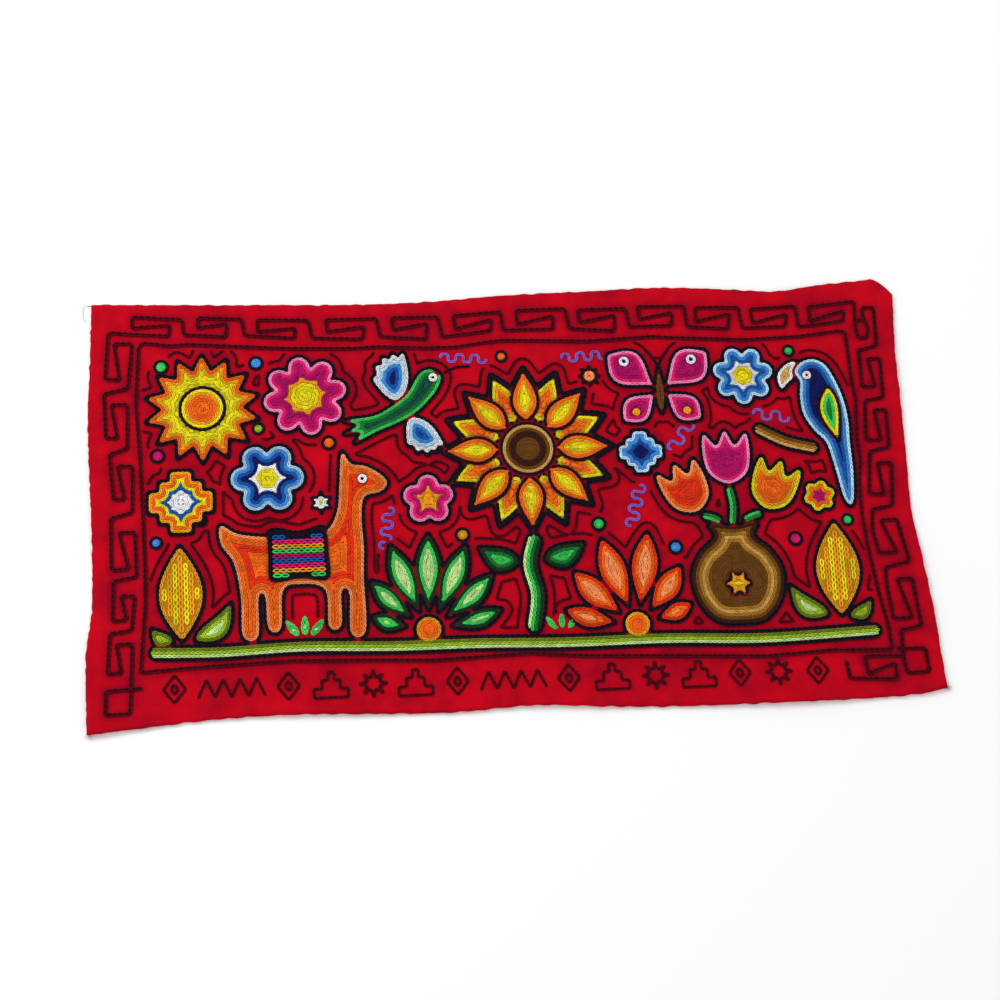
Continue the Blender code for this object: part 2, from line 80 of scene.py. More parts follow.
# The frame line and the fret bands outside it, as drawn by hand on the cloth
FRAME_LINE = [(-376, 180), (-365, 179), (-350, 176), (-328, 177), (-290, 174), (-225, 169), (-160, 167),
              (-130, 168), (-80, 165), (-50, 165), (-20, 169), (0, 171), (90, 167), (160, 170), (200, 167),
              (260, 163), (320, 165), (355, 169), (366, 170), (370, 168), (371, 110), (373, 93), (369, 50),
              (370, 24), (366, 0), (365, -35), (367, -68), (373, -120), (379, -155), (380, -179), (320, -177),
              (250, -180), (151, -175), (60, -171), (10, -166), (-90, -169), (-150, -166), (-230, -163),
              (-310, -165), (-379, -168), (-374, -100), (-374, -65), (-376, -10), (-379, 60), (-383, 112),
              (-380, 176)]
FRETS = [
    [(-411.5, 187), (-409, 192), (-349, 187), (-347.5, 199), (-387, 197), (-386, 209), (-335, 205),
     (-333, 188), (-289.5, 184.5), (-288.5, 199), (-319, 195), (-318, 206.5), (-273, 203.5),
     (-270, 185.5), (-218.5, 180.5), (-217, 191.5), (-256.5, 189), (-256.5, 202), (-203.5, 199.5),
     (-199.5, 180), (-147, 177), (-145, 191), (-184, 186.5), (-184.5, 199.5), (-131.5, 199.5),
     (-128.5, 179.5), (-80, 175), (-78.5, 192.5), (-114.5, 186.5), (-115.5, 200), (-67, 199.5),
     (-62.5, 177), (-11, 182.5), (-10, 195), (-48.5, 185.5), (-50.5, 200.5), (0, 203),
     (2, 182.5), (55, 182), (56, 196.5), (17, 188.5), (17, 204), (69, 204),
     (73, 182), (120.5, 178), (122, 195.5), (84, 188.5), (82.5, 202.5), (134, 202.5),
     (137, 182), (182.5, 182), (184, 196.5), (148, 190), (147.5, 204.5), (197.5, 203.5),
     (199.5, 180), (243, 176.5), (246, 193), (209.5, 186), (209.5, 201.5), (256, 200),
     (259, 176.5), (305.5, 177), (308, 190.5), (270.5, 182), (269, 197.5), (318.5, 199.5),
     (320, 176), (369.5, 181.5), (371, 193), (333, 182.5), (333.5, 198.5), (383.5, 203),
     (382, 172), (383.5, 161.5), (393, 161), (396, 171), (391, 187), (391.5, 196), (404, 195)],
    [(-411, 190), (-414, 141), (-399.5, 140), (-405, 180), (-386.5, 179.5), (-391, 130.5),
     (-415.5, 125), (-413, 76.5), (-401.5, 76.5), (-408, 113), (-391.5, 113), (-391.5, 65),
     (-409.5, 59), (-405.5, 11), (-394.5, 11), (-401.5, 46.5), (-386.5, 46), (-386.5, -3),
     (-408, -9), (-407.5, -62.5), (-390.5, -62), (-400, -24), (-384, -24), (-382.5, -70.5),
     (-405.5, -74), (-406.5, -115), (-392.5, -114.5), (-398, -89.5), (-384.5, -90), (-387.5, -125),
     (-409, -128), (-411, -168.5), (-397.5, -168), (-402.5, -139), (-387, -139), (-389, -209),
     (-413, -209.5), (-412.5, -185.5), (-378, -184)],
    [(404, 193), (402.5, 151.5), (382.5, 147), (381.5, 106), (395.5, 105.5), (391, 137), (404, 137),
     (402.5, 92.5), (382.5, 90), (379, 46), (394.5, 45.5), (391, 79), (403.5, 78.5), (402.5, 37.5),
     (381, 33), (375.5, -13), (391, -14), (388, 20.5), (403, 20), (398.5, -26.5), (376.5, -30),
     (374, -52), (378.5, -77), (397, -77), (384, -42), (401, -42), (408.5, -87.5), (383, -93),
     (382, -112), (385, -147), (404.5, -147), (393.5, -106), (409, -105.5), (413, -156),
     (391.5, -159.5), (390.5, -190), (392.5, -204), (415.5, -203.5), (414, -179.3), (385, -178.3)],
    [(330.5, -189), (332.5, -207), (381, -209.5), (381, -193), (352, -203), (350.5, -184.5), (391, -186)],
    [(384, 181), (391, 182)],
]
BORDER_NODES = ["frame_top", "frame_right", "frame_bottom", "frame_left", "fret_top", "fret_left",
                "fret_right", "fret_bottom", "corner_square_left", "corner_square_right"]

# Outlines of the figures, each around its own origin
LLAMA = [(-66, 94), (-52, 86), (-20, 82), (14, 84), (26, 100), (29, 124), (30, 138), (32, 152), (39, 141),
         (50, 139), (63, 131), (68, 123), (61, 116), (49, 113), (46, 96), (47, 72), (46, 46), (46, 3),
         (34, 2), (34, 34), (28, 36), (27, 8), (17, 8), (15, 38), (-6, 43), (-18, 38), (-20, 8), (-30, 8),
         (-32, 34), (-37, 34), (-38, 2), (-50, 3), (-51, 34), (-56, 62), (-66, 78)]
SADDLE_CLOTH = [(-27, 87), (-4, 84), (16, 88), (19, 66), (18, 46), (-4, 48), (-27, 46), (-29, 66)]
HUMMINGBIRD = [(54, 18), (48, 29), (36, 31), (25, 24), (10, 13), (-14, 7), (-34, 6), (-64, 14), (-52, 3),
               (-70, 0), (-52, -6), (-64, -14), (-36, -12), (-12, -12), (12, -9), (32, -1), (45, 7)]
WING = [(0, 0), (14, 4), (26, 16), (34, 34), (38, 56), (28, 51), (25, 61), (17, 54), (11, 62), (5, 51),
        (-3, 56), (-6, 42), (-14, 40), (-12, 24), (-8, 10)]
MACAW = [(-6, 62), (-18, 58), (-25, 48), (-20, 38), (-22, 22), (-20, 2), (-10, -16), (0, -28), (6, -56),
         (12, -88), (20, -92), (24, -60), (24, -28), (25, -4), (22, 20), (14, 44), (6, 57)]
BEAK = [(-21, 60), (-33, 57), (-43, 45), (-40, 30), (-33, 37), (-26.5, 42), (-27, 50)]
JUG = [(-22, 50), (-17, 38), (-32, 24), (-41, 4), (-37, -20), (-22, -38), (0, -41), (22, -38), (37, -20),
       (41, 4), (32, 24), (17, 38), (22, 50), (0, 47)]
TULIP = [(0, -16), (-14, -8), (-18, 8), (-16, 24), (-7, 14), (0, 26), (7, 14), (16, 24), (18, 8), (14, -8)]
STEPPED_CROSS = [(1, 3), (1, 2), (2, 2), (2, 1), (3, 1), (3, -1), (2, -1), (2, -2), (1, -2), (1, -3),
                 (-1, -3), (-1, -2), (-2, -2), (-2, -1), (-3, -1), (-3, 1), (-2, 1), (-2, 2), (-1, 2),
                 (-1, 3)]

# Dyed yarns, as seen
YARNS = {
    "black": (20, 15, 30), "maroon": (84, 2, 20), "yellow": (236, 222, 30), "gold": (240, 164, 30),
    "orange": (246, 112, 26), "red": (236, 58, 22), "peach": (255, 156, 96), "magenta": (186, 16, 108),
    "pink": (232, 26, 118), "blush": (250, 148, 196), "navy": (20, 28, 100), "blue": (24, 90, 176),
    "sky": (72, 146, 220), "ice": (186, 222, 246), "white": (240, 240, 242), "lilac": (134, 98, 198),
    "forest": (12, 60, 28), "green": (28, 132, 58), "neon": (66, 208, 96), "pale": (200, 234, 154),
    "olive": (110, 132, 30), "lime": (166, 196, 44), "teal": (20, 86, 68), "brown": (64, 32, 16),
    "umber": (118, 74, 24), "ochre": (178, 126, 38), "tan": (218, 172, 94),
}

# Lilac squiggles: middle, length, height, waves and turn
SQUIGGLES = [(128, -16, 46, 13, 3, 74), (-42, 152, 48, 9, 3, -4), (86, 150, 48, 10, 3, 3),
             (280, 77, 38, 11, 2, -8), (182, 58, 38, 12, 2, 52), (-130, -30, 44, 12, 3, 82)]
# Dots and, where points are given, small stars: middle, radius, points and colours
SMALL_FIGURES = [(-357, 153, 9, 0, "neon"), (-259, 154, 9, 0, "sky"), (-258, 82, 8, 0, "lime"),
                 (-2, 153, 8, 0, "orange"), (-53, -40, 9, 0, "gold"), (88, -34, 9, 0, "neon"),
                 (212, 150, 8, 0, "gold"), (306, 149, 8, 0, "neon"), (-361, 56, 9, 0, "pink"),
                 (-318, -14, 8, 0, "sky"), (292, -58, 9, 0, "pink"), (166, -62, 9, 0, "sky"),
                 (-196, 0, 17, 6, "white yellow"), (90, 128, 17, 8, "peach red"), (-363, -36, 8, 0, "sky"),
                 (-186, 64, 9, 0, "orange"), (349, -40, 8, 0, "neon")]
# Small three-leaved sprouts: root and length
SPROUTS = [(-216, -139, 25), (43, -143, 20)]

# One closed loop of a chain stitch from its tip round: share of length, of width, and of rise
CHAIN_LOOP = [(1.10, 0.0, 0.15), (0.84, 0.42, 0.45), (0.46, 0.5, 0.9), (0.10, 0.26, 1.0),
              (-0.08, 0.0, 0.1), (0.10, -0.26, 1.0), (0.46, -0.5, 0.9), (0.84, -0.42, 0.45)]
LOOP_LENGTH = 4.8
LOOP_WIDTH = 3.0
STRAND_SIDES = 4
TUBE_RADIUS = 0.25

# Row pitch of the solids under the bands, and the widths of the rows in thicker yarn
BAND_PITCH = 3.4
OUTLINE_ROW_WIDTH = 4.2
BORDER_ROW_WIDTH = 4.9
# Flat filling under the stitches: height of the topmost, and how much lower each next one lies
PAD_HEIGHT = 0.45
PAD_STEP = 0.02
PAD_LEVELS = 12
# How far painted shade darkens the cloth beside a figure and beside a border line
FIGURE_SHADE_REACH = 9
LINE_SHADE_REACH = 5
# Length near a corner over which a cut edge strays less
CORNER_FADE = 20

# The stage in metres, with the camera's place and its own axes
FLOOR_REACH = 6.0
FLOOR_DROP = 0.0002
KEY_PLACE = (-1.3, 1.2, 1.7)
KEY_SIZE = 1.3
CAMERA_PLACE = (-0.1606, -0.5088, 1.7648)
CAMERA_RIGHT = (0.99603, -0.05873, 0.06696)
CAMERA_UP = (0.03791, 0.95985, 0.27795)
CAMERA_BACK = (-0.08059, -0.27430, 0.95826)


class ClothSettings(bpy.types.PropertyGroup):
    """The felted ground cloth."""
    thickness: FloatProperty(
        name="Thickness", description="Thickness of the felted cloth", default=0.0019, unit="LENGTH")
    spacing: FloatProperty(
        name="Grid spacing", description="Distance between the cloth's mesh lines", default=0.0043,
        unit="LENGTH")
    edge_wobble: FloatProperty(
        name="Edge wobble", description="How far the cut edge strays", default=0.0007, unit="LENGTH")
    puff: FloatProperty(
        name="Puff", description="Height of the soft swells between the stitched parts", default=0.0012,
        unit="LENGTH")
    fuzz_length: FloatProperty(
        name="Fuzz length", description="Length of the loose fibres along the cut edges", default=0.0032,
        unit="LENGTH")
    fuzz_count: IntProperty(
        name="Fuzz fibres", description="Number of loose fibres along the cut edges", default=2600)
    colour: FloatVectorProperty(
        name="Cloth red", description="Colour of the dyed ground cloth", subtype="COLOR",
        default=(0.545, 0.0012, 0.010))
    # The shade colour serves the random darker blotches and also the painted shade beside the stitches
    shade: FloatVectorProperty(
        name="Cloth shade", description="Colour of the ground cloth's darker blotches", subtype="COLOR",
        default=(0.27, 0.0005, 0.011))


class StitchSettings(bpy.types.PropertyGroup):
    """The chain-stitched wool."""
    pitch: FloatProperty(
        name="Row pitch", description="Distance between two stitched rows", default=0.0034, unit="LENGTH")
    length: FloatProperty(
        name="Stitch length", description="Length of one chain stitch", default=0.0048, unit="LENGTH")
    strand: FloatProperty(
        name="Strand", description="Thickness of the wool yarn", default=0.0014, unit="LENGTH")
    rise: FloatProperty(
        name="Rise", description="How far a stitch arches above the cloth", default=0.0008, unit="LENGTH")


class StageSettings(bpy.types.PropertyGroup):
    """Floor, light and camera."""
    floor_colour: FloatVectorProperty(
        name="Floor", description="Colour of the plain floor", subtype="COLOR", default=(0.96, 0.96, 0.96))
    key_power: FloatProperty(
        name="Key light", description="Power of the large soft light", default=26.0, unit="POWER")
    sky_strength: FloatProperty(
        name="Sky", description="Strength of the even white light from all round", default=0.82)
    lens: FloatProperty(
        name="Lens", description="Focal length of the camera", default=64.2, unit="CAMERA")


def smooth(points, steps=6, closed=True):
    """Points along a smooth curve through the given points."""
    spots = np.array(points, float)
    count = len(spots)
    curve = []
    for index in range(count if closed else count - 1):
        near = [index - 1, index, index + 1, index + 2]
        if closed:
            before, start, end, after = spots[[k % count for k in near]]
        else:
            before, start, end, after = spots[[min(max(k, 0), count - 1) for k in near]]
        for step in range(steps):
            t = step / steps
            curve.append(0.5 * (2 * start + (end - before) * t
                                + (2 * before - 5 * start + 4 * end - after) * t * t
                                + (3 * start - before - 3 * end + after) * t ** 3))
    if not closed:
        curve.append(spots[-1])
    return np.array(curve)


def headings(turns):
    """Unit directions at angles in radians."""
    return np.stack([np.cos(turns), np.sin(turns)], 1)


def leftward(along):
    """Directions turned a quarter to the left."""
    return np.stack([-along[:, 1], along[:, 0]], 1)


def away_from(x, y, distance, turn):
    """A place some distance from another, at an angle in degrees."""
    return x + distance * math.cos(math.radians(turn)), y + distance * math.sin(math.radians(turn))


def polar(radii, start=0.0):
    """Closed outline from radii at even angles."""
    turns = start + np.arange(len(radii)) * 2 * math.pi / len(radii)
    return headings(turns) * np.array(radii, float)[:, None]


def disc(radius, steps=24):
    """Round outline."""
    return polar([radius] * steps)


def star(radius, inner, points):
    """Pointed outline, one point up."""
    return polar([radius, inner] * points, math.pi / 2)


def rosette(radius, petals, depth=0.3, steps=8):
    """Round petals, as a wave in the radius."""
    return polar([radius * (1 - depth + depth * abs(math.cos(math.pi * k / steps)) ** 0.7)
                  for k in range(petals * steps)])


def leaf(length, width, bend=0.0, fullness=0.75, steps=14):
    """Pointed leaf along +X from its own root, bent to one side."""
    t = np.linspace(0, 1, steps)
    half = width / 2 * np.sin(math.pi * t ** fullness)
    middle = bend * length * np.sin(math.pi * t)
    upper = np.stack([t * length, middle + half], 1)
    lower = np.stack([t * length, middle - half], 1)
    return np.concatenate([upper, lower[-2:0:-1]])


def beside(line, distance):
    """The same open line moved to its left by a distance."""
    along = np.gradient(line, axis=0)
    along /= np.maximum(np.linalg.norm(along, axis=1), 1e-9)[:, None]
    return line + leftward(along) * distance


def round_ended(line, width):
    """Outline of a band with round ends around an open line."""
    half = width / 2

    def end_cap(tip, along):
        turn = math.atan2(along[1], along[0])
        sweep = np.linspace(math.pi / 2, -math.pi / 2, 8)[1:-1] + turn
        return tip + half * headings(sweep)

    return np.concatenate([beside(line, half), end_cap(line[-1], line[-1] - line[-2]),
                           beside(line, -half)[::-1], end_cap(line[0], line[0] - line[1])])


def placed(outline, x=0.0, y=0.0, turn=0.0, size=1.0, mirror=False):
    """An outline scaled, mirrored, turned by degrees and moved."""
    spots = np.array(outline, float) * size
    if mirror:
        spots = spots * (-1, 1)
    cos_turn, sin_turn = math.cos(math.radians(turn)), math.sin(math.radians(turn))
    return np.stack([spots[:, 0] * cos_turn - spots[:, 1] * sin_turn + x,
                     spots[:, 0] * sin_turn + spots[:, 1] * cos_turn + y], 1)


# Small signs along the bottom band: their lines, and what stands where along the band
SIGNS = {
    "diamond": [[(0, 14), (11, 0), (0, -14), (-11, 0)], [(0, 5), (4, 0), (0, -5), (-4, 0)]],
    "steps": [[(-17, -13), (-17, -4), (-9, -4), (-9, 5), (-3, 5), (-3, 13), (3, 13), (3, 5), (9, 5),
               (9, -4), (17, -4), (17, -13)]],
    "teeth": [[(-33 + 8.25 * k, 9 if k % 2 else -9) for k in range(9)]],
    "ray": [star(14, 6, 8)],
}
SIGN_ROW = [("diamond", -346), ("teeth", -290), ("diamond", -234), ("steps", -192), ("ray", -150),
            ("steps", -108), ("diamond", -66), ("teeth", -10), ("diamond", 46), ("steps", 90), ("ray", 134),
            ("steps", 178), ("diamond", 220), ("ray", 260), ("diamond", 300)]

# A stitched area: its outline, the colours of its rows from the rim in, and how they run
Area = namedtuple("Area", "outline colours fill turn spacing spine", defaults=(0.0, 0.0, None))
# What is stitched as one piece: its areas, the topmost first, and the black rows on their own
Motif = namedtuple("Motif", "name group slot nodes areas rows")


def filled(outline, colours, x, y, turn=0.0, size=1.0, mirror=False, stripes=0.0):
    """A stitched area in its place, in rings of rows or, where a spacing is given, in stripes."""
    fill = "stripes" if stripes else "rings"
    return Area(placed(outline, x, y, turn, size, mirror), colours, fill, turn, stripes)


def figure(name, group, slot, *areas, nodes=None, rows=()):
    """A motif that stands for the solid of its own name, or for the solids named."""
    return Motif(name, group, slot, [name] if nodes is None else nodes, areas, rows)


def band(points, colours):
    """Rows side by side along a smooth open line."""
    spine = smooth(points, 8, closed=False)
    width = BAND_PITCH * (len(colours.split()) + 0.2)
    return Area(round_ended(spine, width), colours, "band", spine=spine)


def squiggle(x, y, length, height, waves, turn):
    """A wavy line whose waves lean over a little."""
    t = np.linspace(0, 1, waves * 16 + 1)
    phase = t * waves * 2 * math.pi
    wave = np.stack([(t - 0.5) * length - 0.13 * length / waves * np.sin(2 * phase),
                     height / 2 * np.sin(phase)], 1)
    return placed(wave, x, y, turn)


def petals(x, y, distance, colours, leaves, fullness):
    """Leaves that spread from a middle: turn, length, width and bend of each."""
    return [filled(leaf(length, width, bend, fullness), colours, *away_from(x, y, distance, turn), turn)
            for turn, length, width, bend in leaves]


def sunflower():
    """A dark heart over eight petals, and eight more between and under them."""
    x, y = 20, 50
    areas = [filled(disc(30), "black tan umber brown brown umber", x, y)]
    for first, colours in ((0.0, "black orange gold yellow"), (22.5, "black yellow gold orange")):
        areas += petals(x, y, 28, colours, [(45 * k + first, 62, 32, 0.0) for k in range(8)], 0.75)
    return figure("sunflower", "flowers", "gold_yarn", *areas)


def butterfly():
    """Spots, wings and body, and the two feelers."""
    middle = 164
    spots = [filled(disc(radius), colours, middle + side * reach, y)
             for radius, colours, reach, y in ((6, "white navy", 36, 143), (5, "gold", 27, 86))
             for side in (-1, 1)]
    wings = [filled(leaf(length, width, 0.0, fullness), "blush pink magenta", middle + side * 6, y,
                    turn if side > 0 else 180 - turn)
             for side in (-1, 1)
             for length, width, fullness, y, turn in ((60, 40, 1.35, 114, 38), (46, 30, 1.3, 106, -40))]
    feelers = [[(middle + side * reach, y) for reach, y in ((1, 138), (6, 149), (13, 156))]
               for side in (-1, 1)]
    body = filled(leaf(52, 8), "umber", middle, 84, 90)
    return figure("butterfly", "animals", "pink_yarn", *spots, *wings, body,
                  nodes=["wing_left_upper", "wing_left_lower", "wing_right_upper", "wing_right_lower"],
                  rows=feelers)


def fan(name, slot, colours, x, y, leaves):
    """A plant whose leaves spread from a round heart, one solid to each leaf."""
    return figure(name, "plants", slot, filled(disc(13), "gold orange", x, y + 4),
                  *petals(x, y, 24, colours, leaves, 1.15), nodes=[f"{name}_{k}" for k in range(len(leaves))])


def motifs():
    """Every stitched figure, placed as its solid is."""
    return [
        figure("llama", "animals", "orange_yarn",
               filled(disc(5.6), "white black", -153, 24),
               filled(smooth(SADDLE_CLOTH), "black magenta neon gold pink blue", -214, -140, 0, 1.28,
                      stripes=5.0),
               filled(smooth(LLAMA), "peach orange orange red red orange", -214, -140, 0, 1.28)),
        figure("hummingbird", "animals", "green_yarn",
               filled(disc(5.4), "white black", -75, 132),
               filled(smooth(HUMMINGBIRD), "neon green teal", -108, 98, 22, 0.96),
               rows=[[(-63, 137), (-50, 143), (-36, 143)]]),
        figure("wing_up", "animals", "blue_yarn",
               filled(smooth(WING), "white ice sky blue navy", -115, 107.5, 24, 0.81)),
        figure("wing_down", "animals", "blue_yarn",
               filled(smooth(WING), "white ice sky blue navy", -101, 88, 192, 0.7, True)),
        figure("macaw", "animals", "blue_yarn",
               filled(disc(5.4), "white black", 323, 121),
               filled(leaf(69, 26, -0.06), "black yellow neon green", 344, 110, -84),
               filled(smooth(MACAW), "ice sky blue navy", 336, 74, 0, 1.05)),
        figure("macaw_beak", "animals", "gold_yarn", filled(smooth(BEAK), "white tan", 336, 74, 0, 1.05)),
        butterfly(),
        figure("sun", "flowers", "gold_yarn",
               filled(disc(25), "black yellow gold orange", -315, 106),
               filled(star(59, 41, 14), "orange gold yellow", -315, 106)),
        sunflower(),
        figure("rosette_pink", "flowers", "pink_yarn",
               filled(rosette(44, 8), "blush pink magenta magenta gold yellow", -209, 116, 10)),
        figure("rosette_sky", "flowers", "blue_yarn",
               filled(rosette(33, 7), "ice sky blue white yellow", 254, 123, 10)),
        figure("rosette_ice", "flowers", "blue_yarn",
               filled(rosette(38, 6), "ice sky blue navy white yellow", -250, 28)),
        figure("rosette_gold", "flowers", "gold_yarn",
               filled(rosette(17.5, 6), "yellow orange magenta", 322, -13, 15)),
        figure("blossom", "flowers", "pink_yarn",
               filled(rosette(27, 5), "blush pink magenta gold", -86, -1, 18)),
        figure("tulip_left", "flowers", "orange_yarn",
               filled(smooth(TULIP), "peach orange red", 184, -5, 22, 1.35)),
        figure("tulip_middle", "flowers", "pink_yarn",
               filled(smooth(TULIP), "blush pink magenta", 228, 26, 0, 1.4)),
        figure("tulip_right", "flowers", "gold_yarn",
               filled(smooth(TULIP), "yellow gold orange", 273, -5, -22, 1.35)),
        figure("jug", "signs", "brown_yarn",
               filled(rosette(15, 6), "black gold yellow", 228, -103),
               filled(smooth(JUG), "brown umber ochre tan ochre umber", 228, -97, 0, 1.16)),
        figure("cross_gold", "signs", "gold_yarn",
               filled(STEPPED_CROSS, "gold orange yellow blue white", -338, 6, 0, 10.8)),
        figure("cross_sky", "signs", "blue_yarn",
               filled(STEPPED_CROSS, "ice sky blue navy", 138, 42, 0, 7.6)),
        figure("ground_band", "plants", "green_yarn",
               band([(-364, -149), (-300, -151), (-220, -149), (-130, -152.5), (-40, -153.5), (50, -156.5),
                     (150, -157), (250, -161), (364, -158)], "olive lime pale")),
        figure("sunflower_stem", "plants", "green_yarn",
               band([(20, -50), (14, -74), (20, -106), (15, -137)], "forest green neon pale")),
        figure("stem_leaf_left", "plants", "green_yarn",
               filled(leaf(44, 24, 0.1), "forest green neon", 3, -72, 156)),
        figure("stem_leaf_right", "plants", "green_yarn",
               filled(leaf(45, 24, -0.1), "forest green neon", 30, -70, 22)),
        figure("branch", "plants", "brown_yarn", band([(266, 62), (292, 48), (321, 40)], "umber ochre tan")),
        figure("tulip_stems", "plants", "green_yarn",
               band([(213, -35), (207, -32), (200, -30)], "neon green"),
               band([(228, -36), (230, -20), (228, -3)], "neon green"),
               band([(243, -35), (249, -32), (256, -30)], "neon green"),
               nodes=["tulip_stem_left", "tulip_stem_middle", "tulip_stem_right"]),
        figure("maize_left", "plants", "gold_yarn",
               filled(leaf(98, 44, 0, 0.95), "gold gold yellow", -338, -138, 91, stripes=5.4)),
        figure("maize_right", "plants", "gold_yarn",
               filled(leaf(100, 46, 0, 0.95), "gold gold yellow", 332, -141, 89, stripes=5.4)),
        figure("husk_left_b", "plants", "green_yarn",
               filled(leaf(52, 21, -0.16), "olive lime pale", -325, -138, 46)),
        figure("husk_right_a", "plants", "green_yarn",
               filled(leaf(50, 21, 0.16), "olive lime pale", 318, -140, 138)),
        figure("husk_right_b", "plants", "green_yarn",
               filled(leaf(30, 15, -0.16), "olive lime pale", 340, -143, 36)),
        figure("small_leaf", "plants", "green_yarn",
               filled(leaf(26, 15, 0.16), "olive lime pale", -347, -139, 146), nodes=[]),
        fan("agave", "green_yarn", "forest neon pale", -92, -141, [
            (161, 36, 17, 0.04), (135, 56, 21, 0.03), (111, 76, 25, 0.01), (88, 80, 26, 0),
            (65, 76, 25, -0.01), (41, 66, 22, -0.03), (16, 54, 18, -0.04)]),
        fan("flame", "orange_yarn", "red orange peach", 120, -145, [
            (163, 52, 20, 0.04), (135, 63, 25, 0.03), (108, 76, 27, 0.01), (80, 78, 27, -0.01),
            (52, 56, 24, -0.03), (22, 38, 18, -0.04)]),
    ]


def figure_outlines():
    """The outlines of all the figures' areas."""
    return [area.outline for motif in motifs() for area in motif.areas]


def small_areas():
    """The dots, stars and sprouts that are stitched between the figures."""
    areas = []
    for x, y, radius, points, colours in SMALL_FIGURES:
        shape = star(radius, 0.5 * radius, points) if points else disc(radius)
        areas.append(filled(shape, f"black {colours}", x, y))
    for x, y, length in SPROUTS:
        for turn in (52, 90, 128):
            root = x + 9 * math.cos(math.radians(turn))
            areas.append(filled(leaf(length, 0.36 * length), "neon pale", root, y, turn))
    return areas


def inside_outline(spots, outline):
    """Which spots lie inside a closed outline."""
    x, y = spots[:, 0], spots[:, 1]
    within = np.zeros(len(spots), bool)
    for (ax, ay), (bx, by) in zip(outline, np.roll(outline, -1, axis=0)):
        if ay == by:
            continue
        crosses = (ay > y) != (by > y)
        within ^= crosses & (x < (bx - ax) * (y - ay) / (by - ay) + ax)
    return within


def distance_to(spots, line):
    """Distance from each spot to an open line."""
    nearest = np.full(len(spots), np.inf)
    for start, end in zip(line, line[1:]):
        edge = end - start
        share = np.clip((spots - start) @ edge / max(edge @ edge, 1e-12), 0, 1)
        gap = spots - start - share[:, None] * edge
        nearest = np.minimum(nearest, np.einsum("ij,ij->i", gap, gap))
    return np.sqrt(nearest)


def depth_inside(spots, outline):
    """How deep each spot lies inside a closed outline; negative outside."""
    closed = np.vstack([outline, outline[:1]])
    return distance_to(spots, closed) * np.where(inside_outline(spots, outline), 1, -1)


class DepthMap:
    """Depth inside one or more outlines on a 1 mm grid."""

    def __init__(self, outlines, room=4):
        self.low = np.floor(np.min([outline.min(0) for outline in outlines], 0)) - room
        size = np.ceil(np.max([outline.max(0) for outline in outlines], 0) - self.low).astype(int) + room + 1
        self.values = np.full(size, -float(room))
        for outline in outlines:
            start = np.floor(outline.min(0) - self.low).astype(int) - room
            end = np.ceil(outline.max(0) - self.low).astype(int) + room
            part = np.stack(np.meshgrid(*(np.arange(a, b) for a, b in zip(start, end)), indexing="ij"), -1)
            depths = depth_inside(part.reshape(-1, 2) + self.low, outline).reshape(part.shape[:2])
            window = self.values[start[0]:end[0], start[1]:end[1]]
            np.maximum(window, depths, out=window)

    def at(self, spots):
        """Depth at any spots, between the grid's own."""
        place = np.clip(spots - self.low, 0, np.array(self.values.shape) - 1.001)
        cell = place.astype(int)
        share = place - cell
        i, j = cell[:, 0], cell[:, 1]
        u, v = share[:, 0], share[:, 1]
        return ((1 - u) * (1 - v) * self.values[i, j] + u * (1 - v) * self.values[i + 1, j]
                + (1 - u) * v * self.values[i, j + 1] + u * v * self.values[i + 1, j + 1])

    def level_lines(self, level):
        """Closed lines along which the depth has one value."""
        deep = self.values > level
        count = deep[:-1, :-1].astype(int) + deep[1:, :-1] + deep[1:, 1:] + deep[:-1, 1:]
        links = {}
        for i, j in zip(*np.nonzero((count > 0) & (count < 4))):
            corners = [(i, j), (i + 1, j), (i + 1, j + 1), (i, j + 1)]
            crossed = []
            for first, second in zip(corners, corners[1:] + corners[:1]):
                if deep[first] != deep[second]:
                    crossed.append((min(first, second), max(first, second)))
            for one, other in zip(crossed[::2], crossed[1::2]):
                links.setdefault(one, []).append(other)
                links.setdefault(other, []).append(one)
        lines = []
        while links:
            here = next(iter(links))
            path = []
            while here in links:
                ahead = links.pop(here)
                path.append(here)
                here = next((spot for spot in ahead if spot in links), here)
            first = np.array([edge[0] for edge in path])
            second = np.array([edge[1] for edge in path])
            low = self.values[first[:, 0], first[:, 1]]
            high = self.values[second[:, 0], second[:, 1]]
            share = ((level - low) / (high - low))[:, None]
            lines.append(first + (second - first) * share + self.low)
        return lines

    def middle_spots(self, pitch):
        """Places in the middle of the shape that the rings leave open, and how open each is."""
        values = self.values
        left_over = np.mod(values - 0.5 * pitch, pitch)
        ridge = np.zeros(values.shape, bool)
        for di, dj in ((2, 0), (0, 2), (2, 2), (2, -2)):
            ahead, behind = (np.roll(values, (s * di, s * dj), (0, 1)) for s in (1, -1))
            ridge |= (values - ahead > 0.9) & (values - behind > 0.9)
        ridge &= (values > 0.5 * pitch) & (left_over > 0.7 * pitch)
        return np.argwhere(ridge) + self.low, left_over[ridge]


def lengths_along(line):
    """Length along a line at each of its points."""
    return np.concatenate([[0], np.cumsum(np.linalg.norm(np.diff(line, axis=0), axis=1))])


def at_lengths(line, marks, places):
    """Points of a line at some lengths along it."""
    return np.stack([np.interp(places, marks, line[:, k]) for k in (0, 1)], 1)


def line_steps(points, closed=False, step=1.0):
    """The same line with its points about a step apart."""
    spots = np.array(points, float)
    if closed:
        spots = np.vstack([spots, spots[:1]])
    marks = lengths_along(spots)
    count = max(2, int(round(marks[-1] / step)) + 1)
    return at_lengths(spots, marks, np.linspace(0, marks[-1], count))


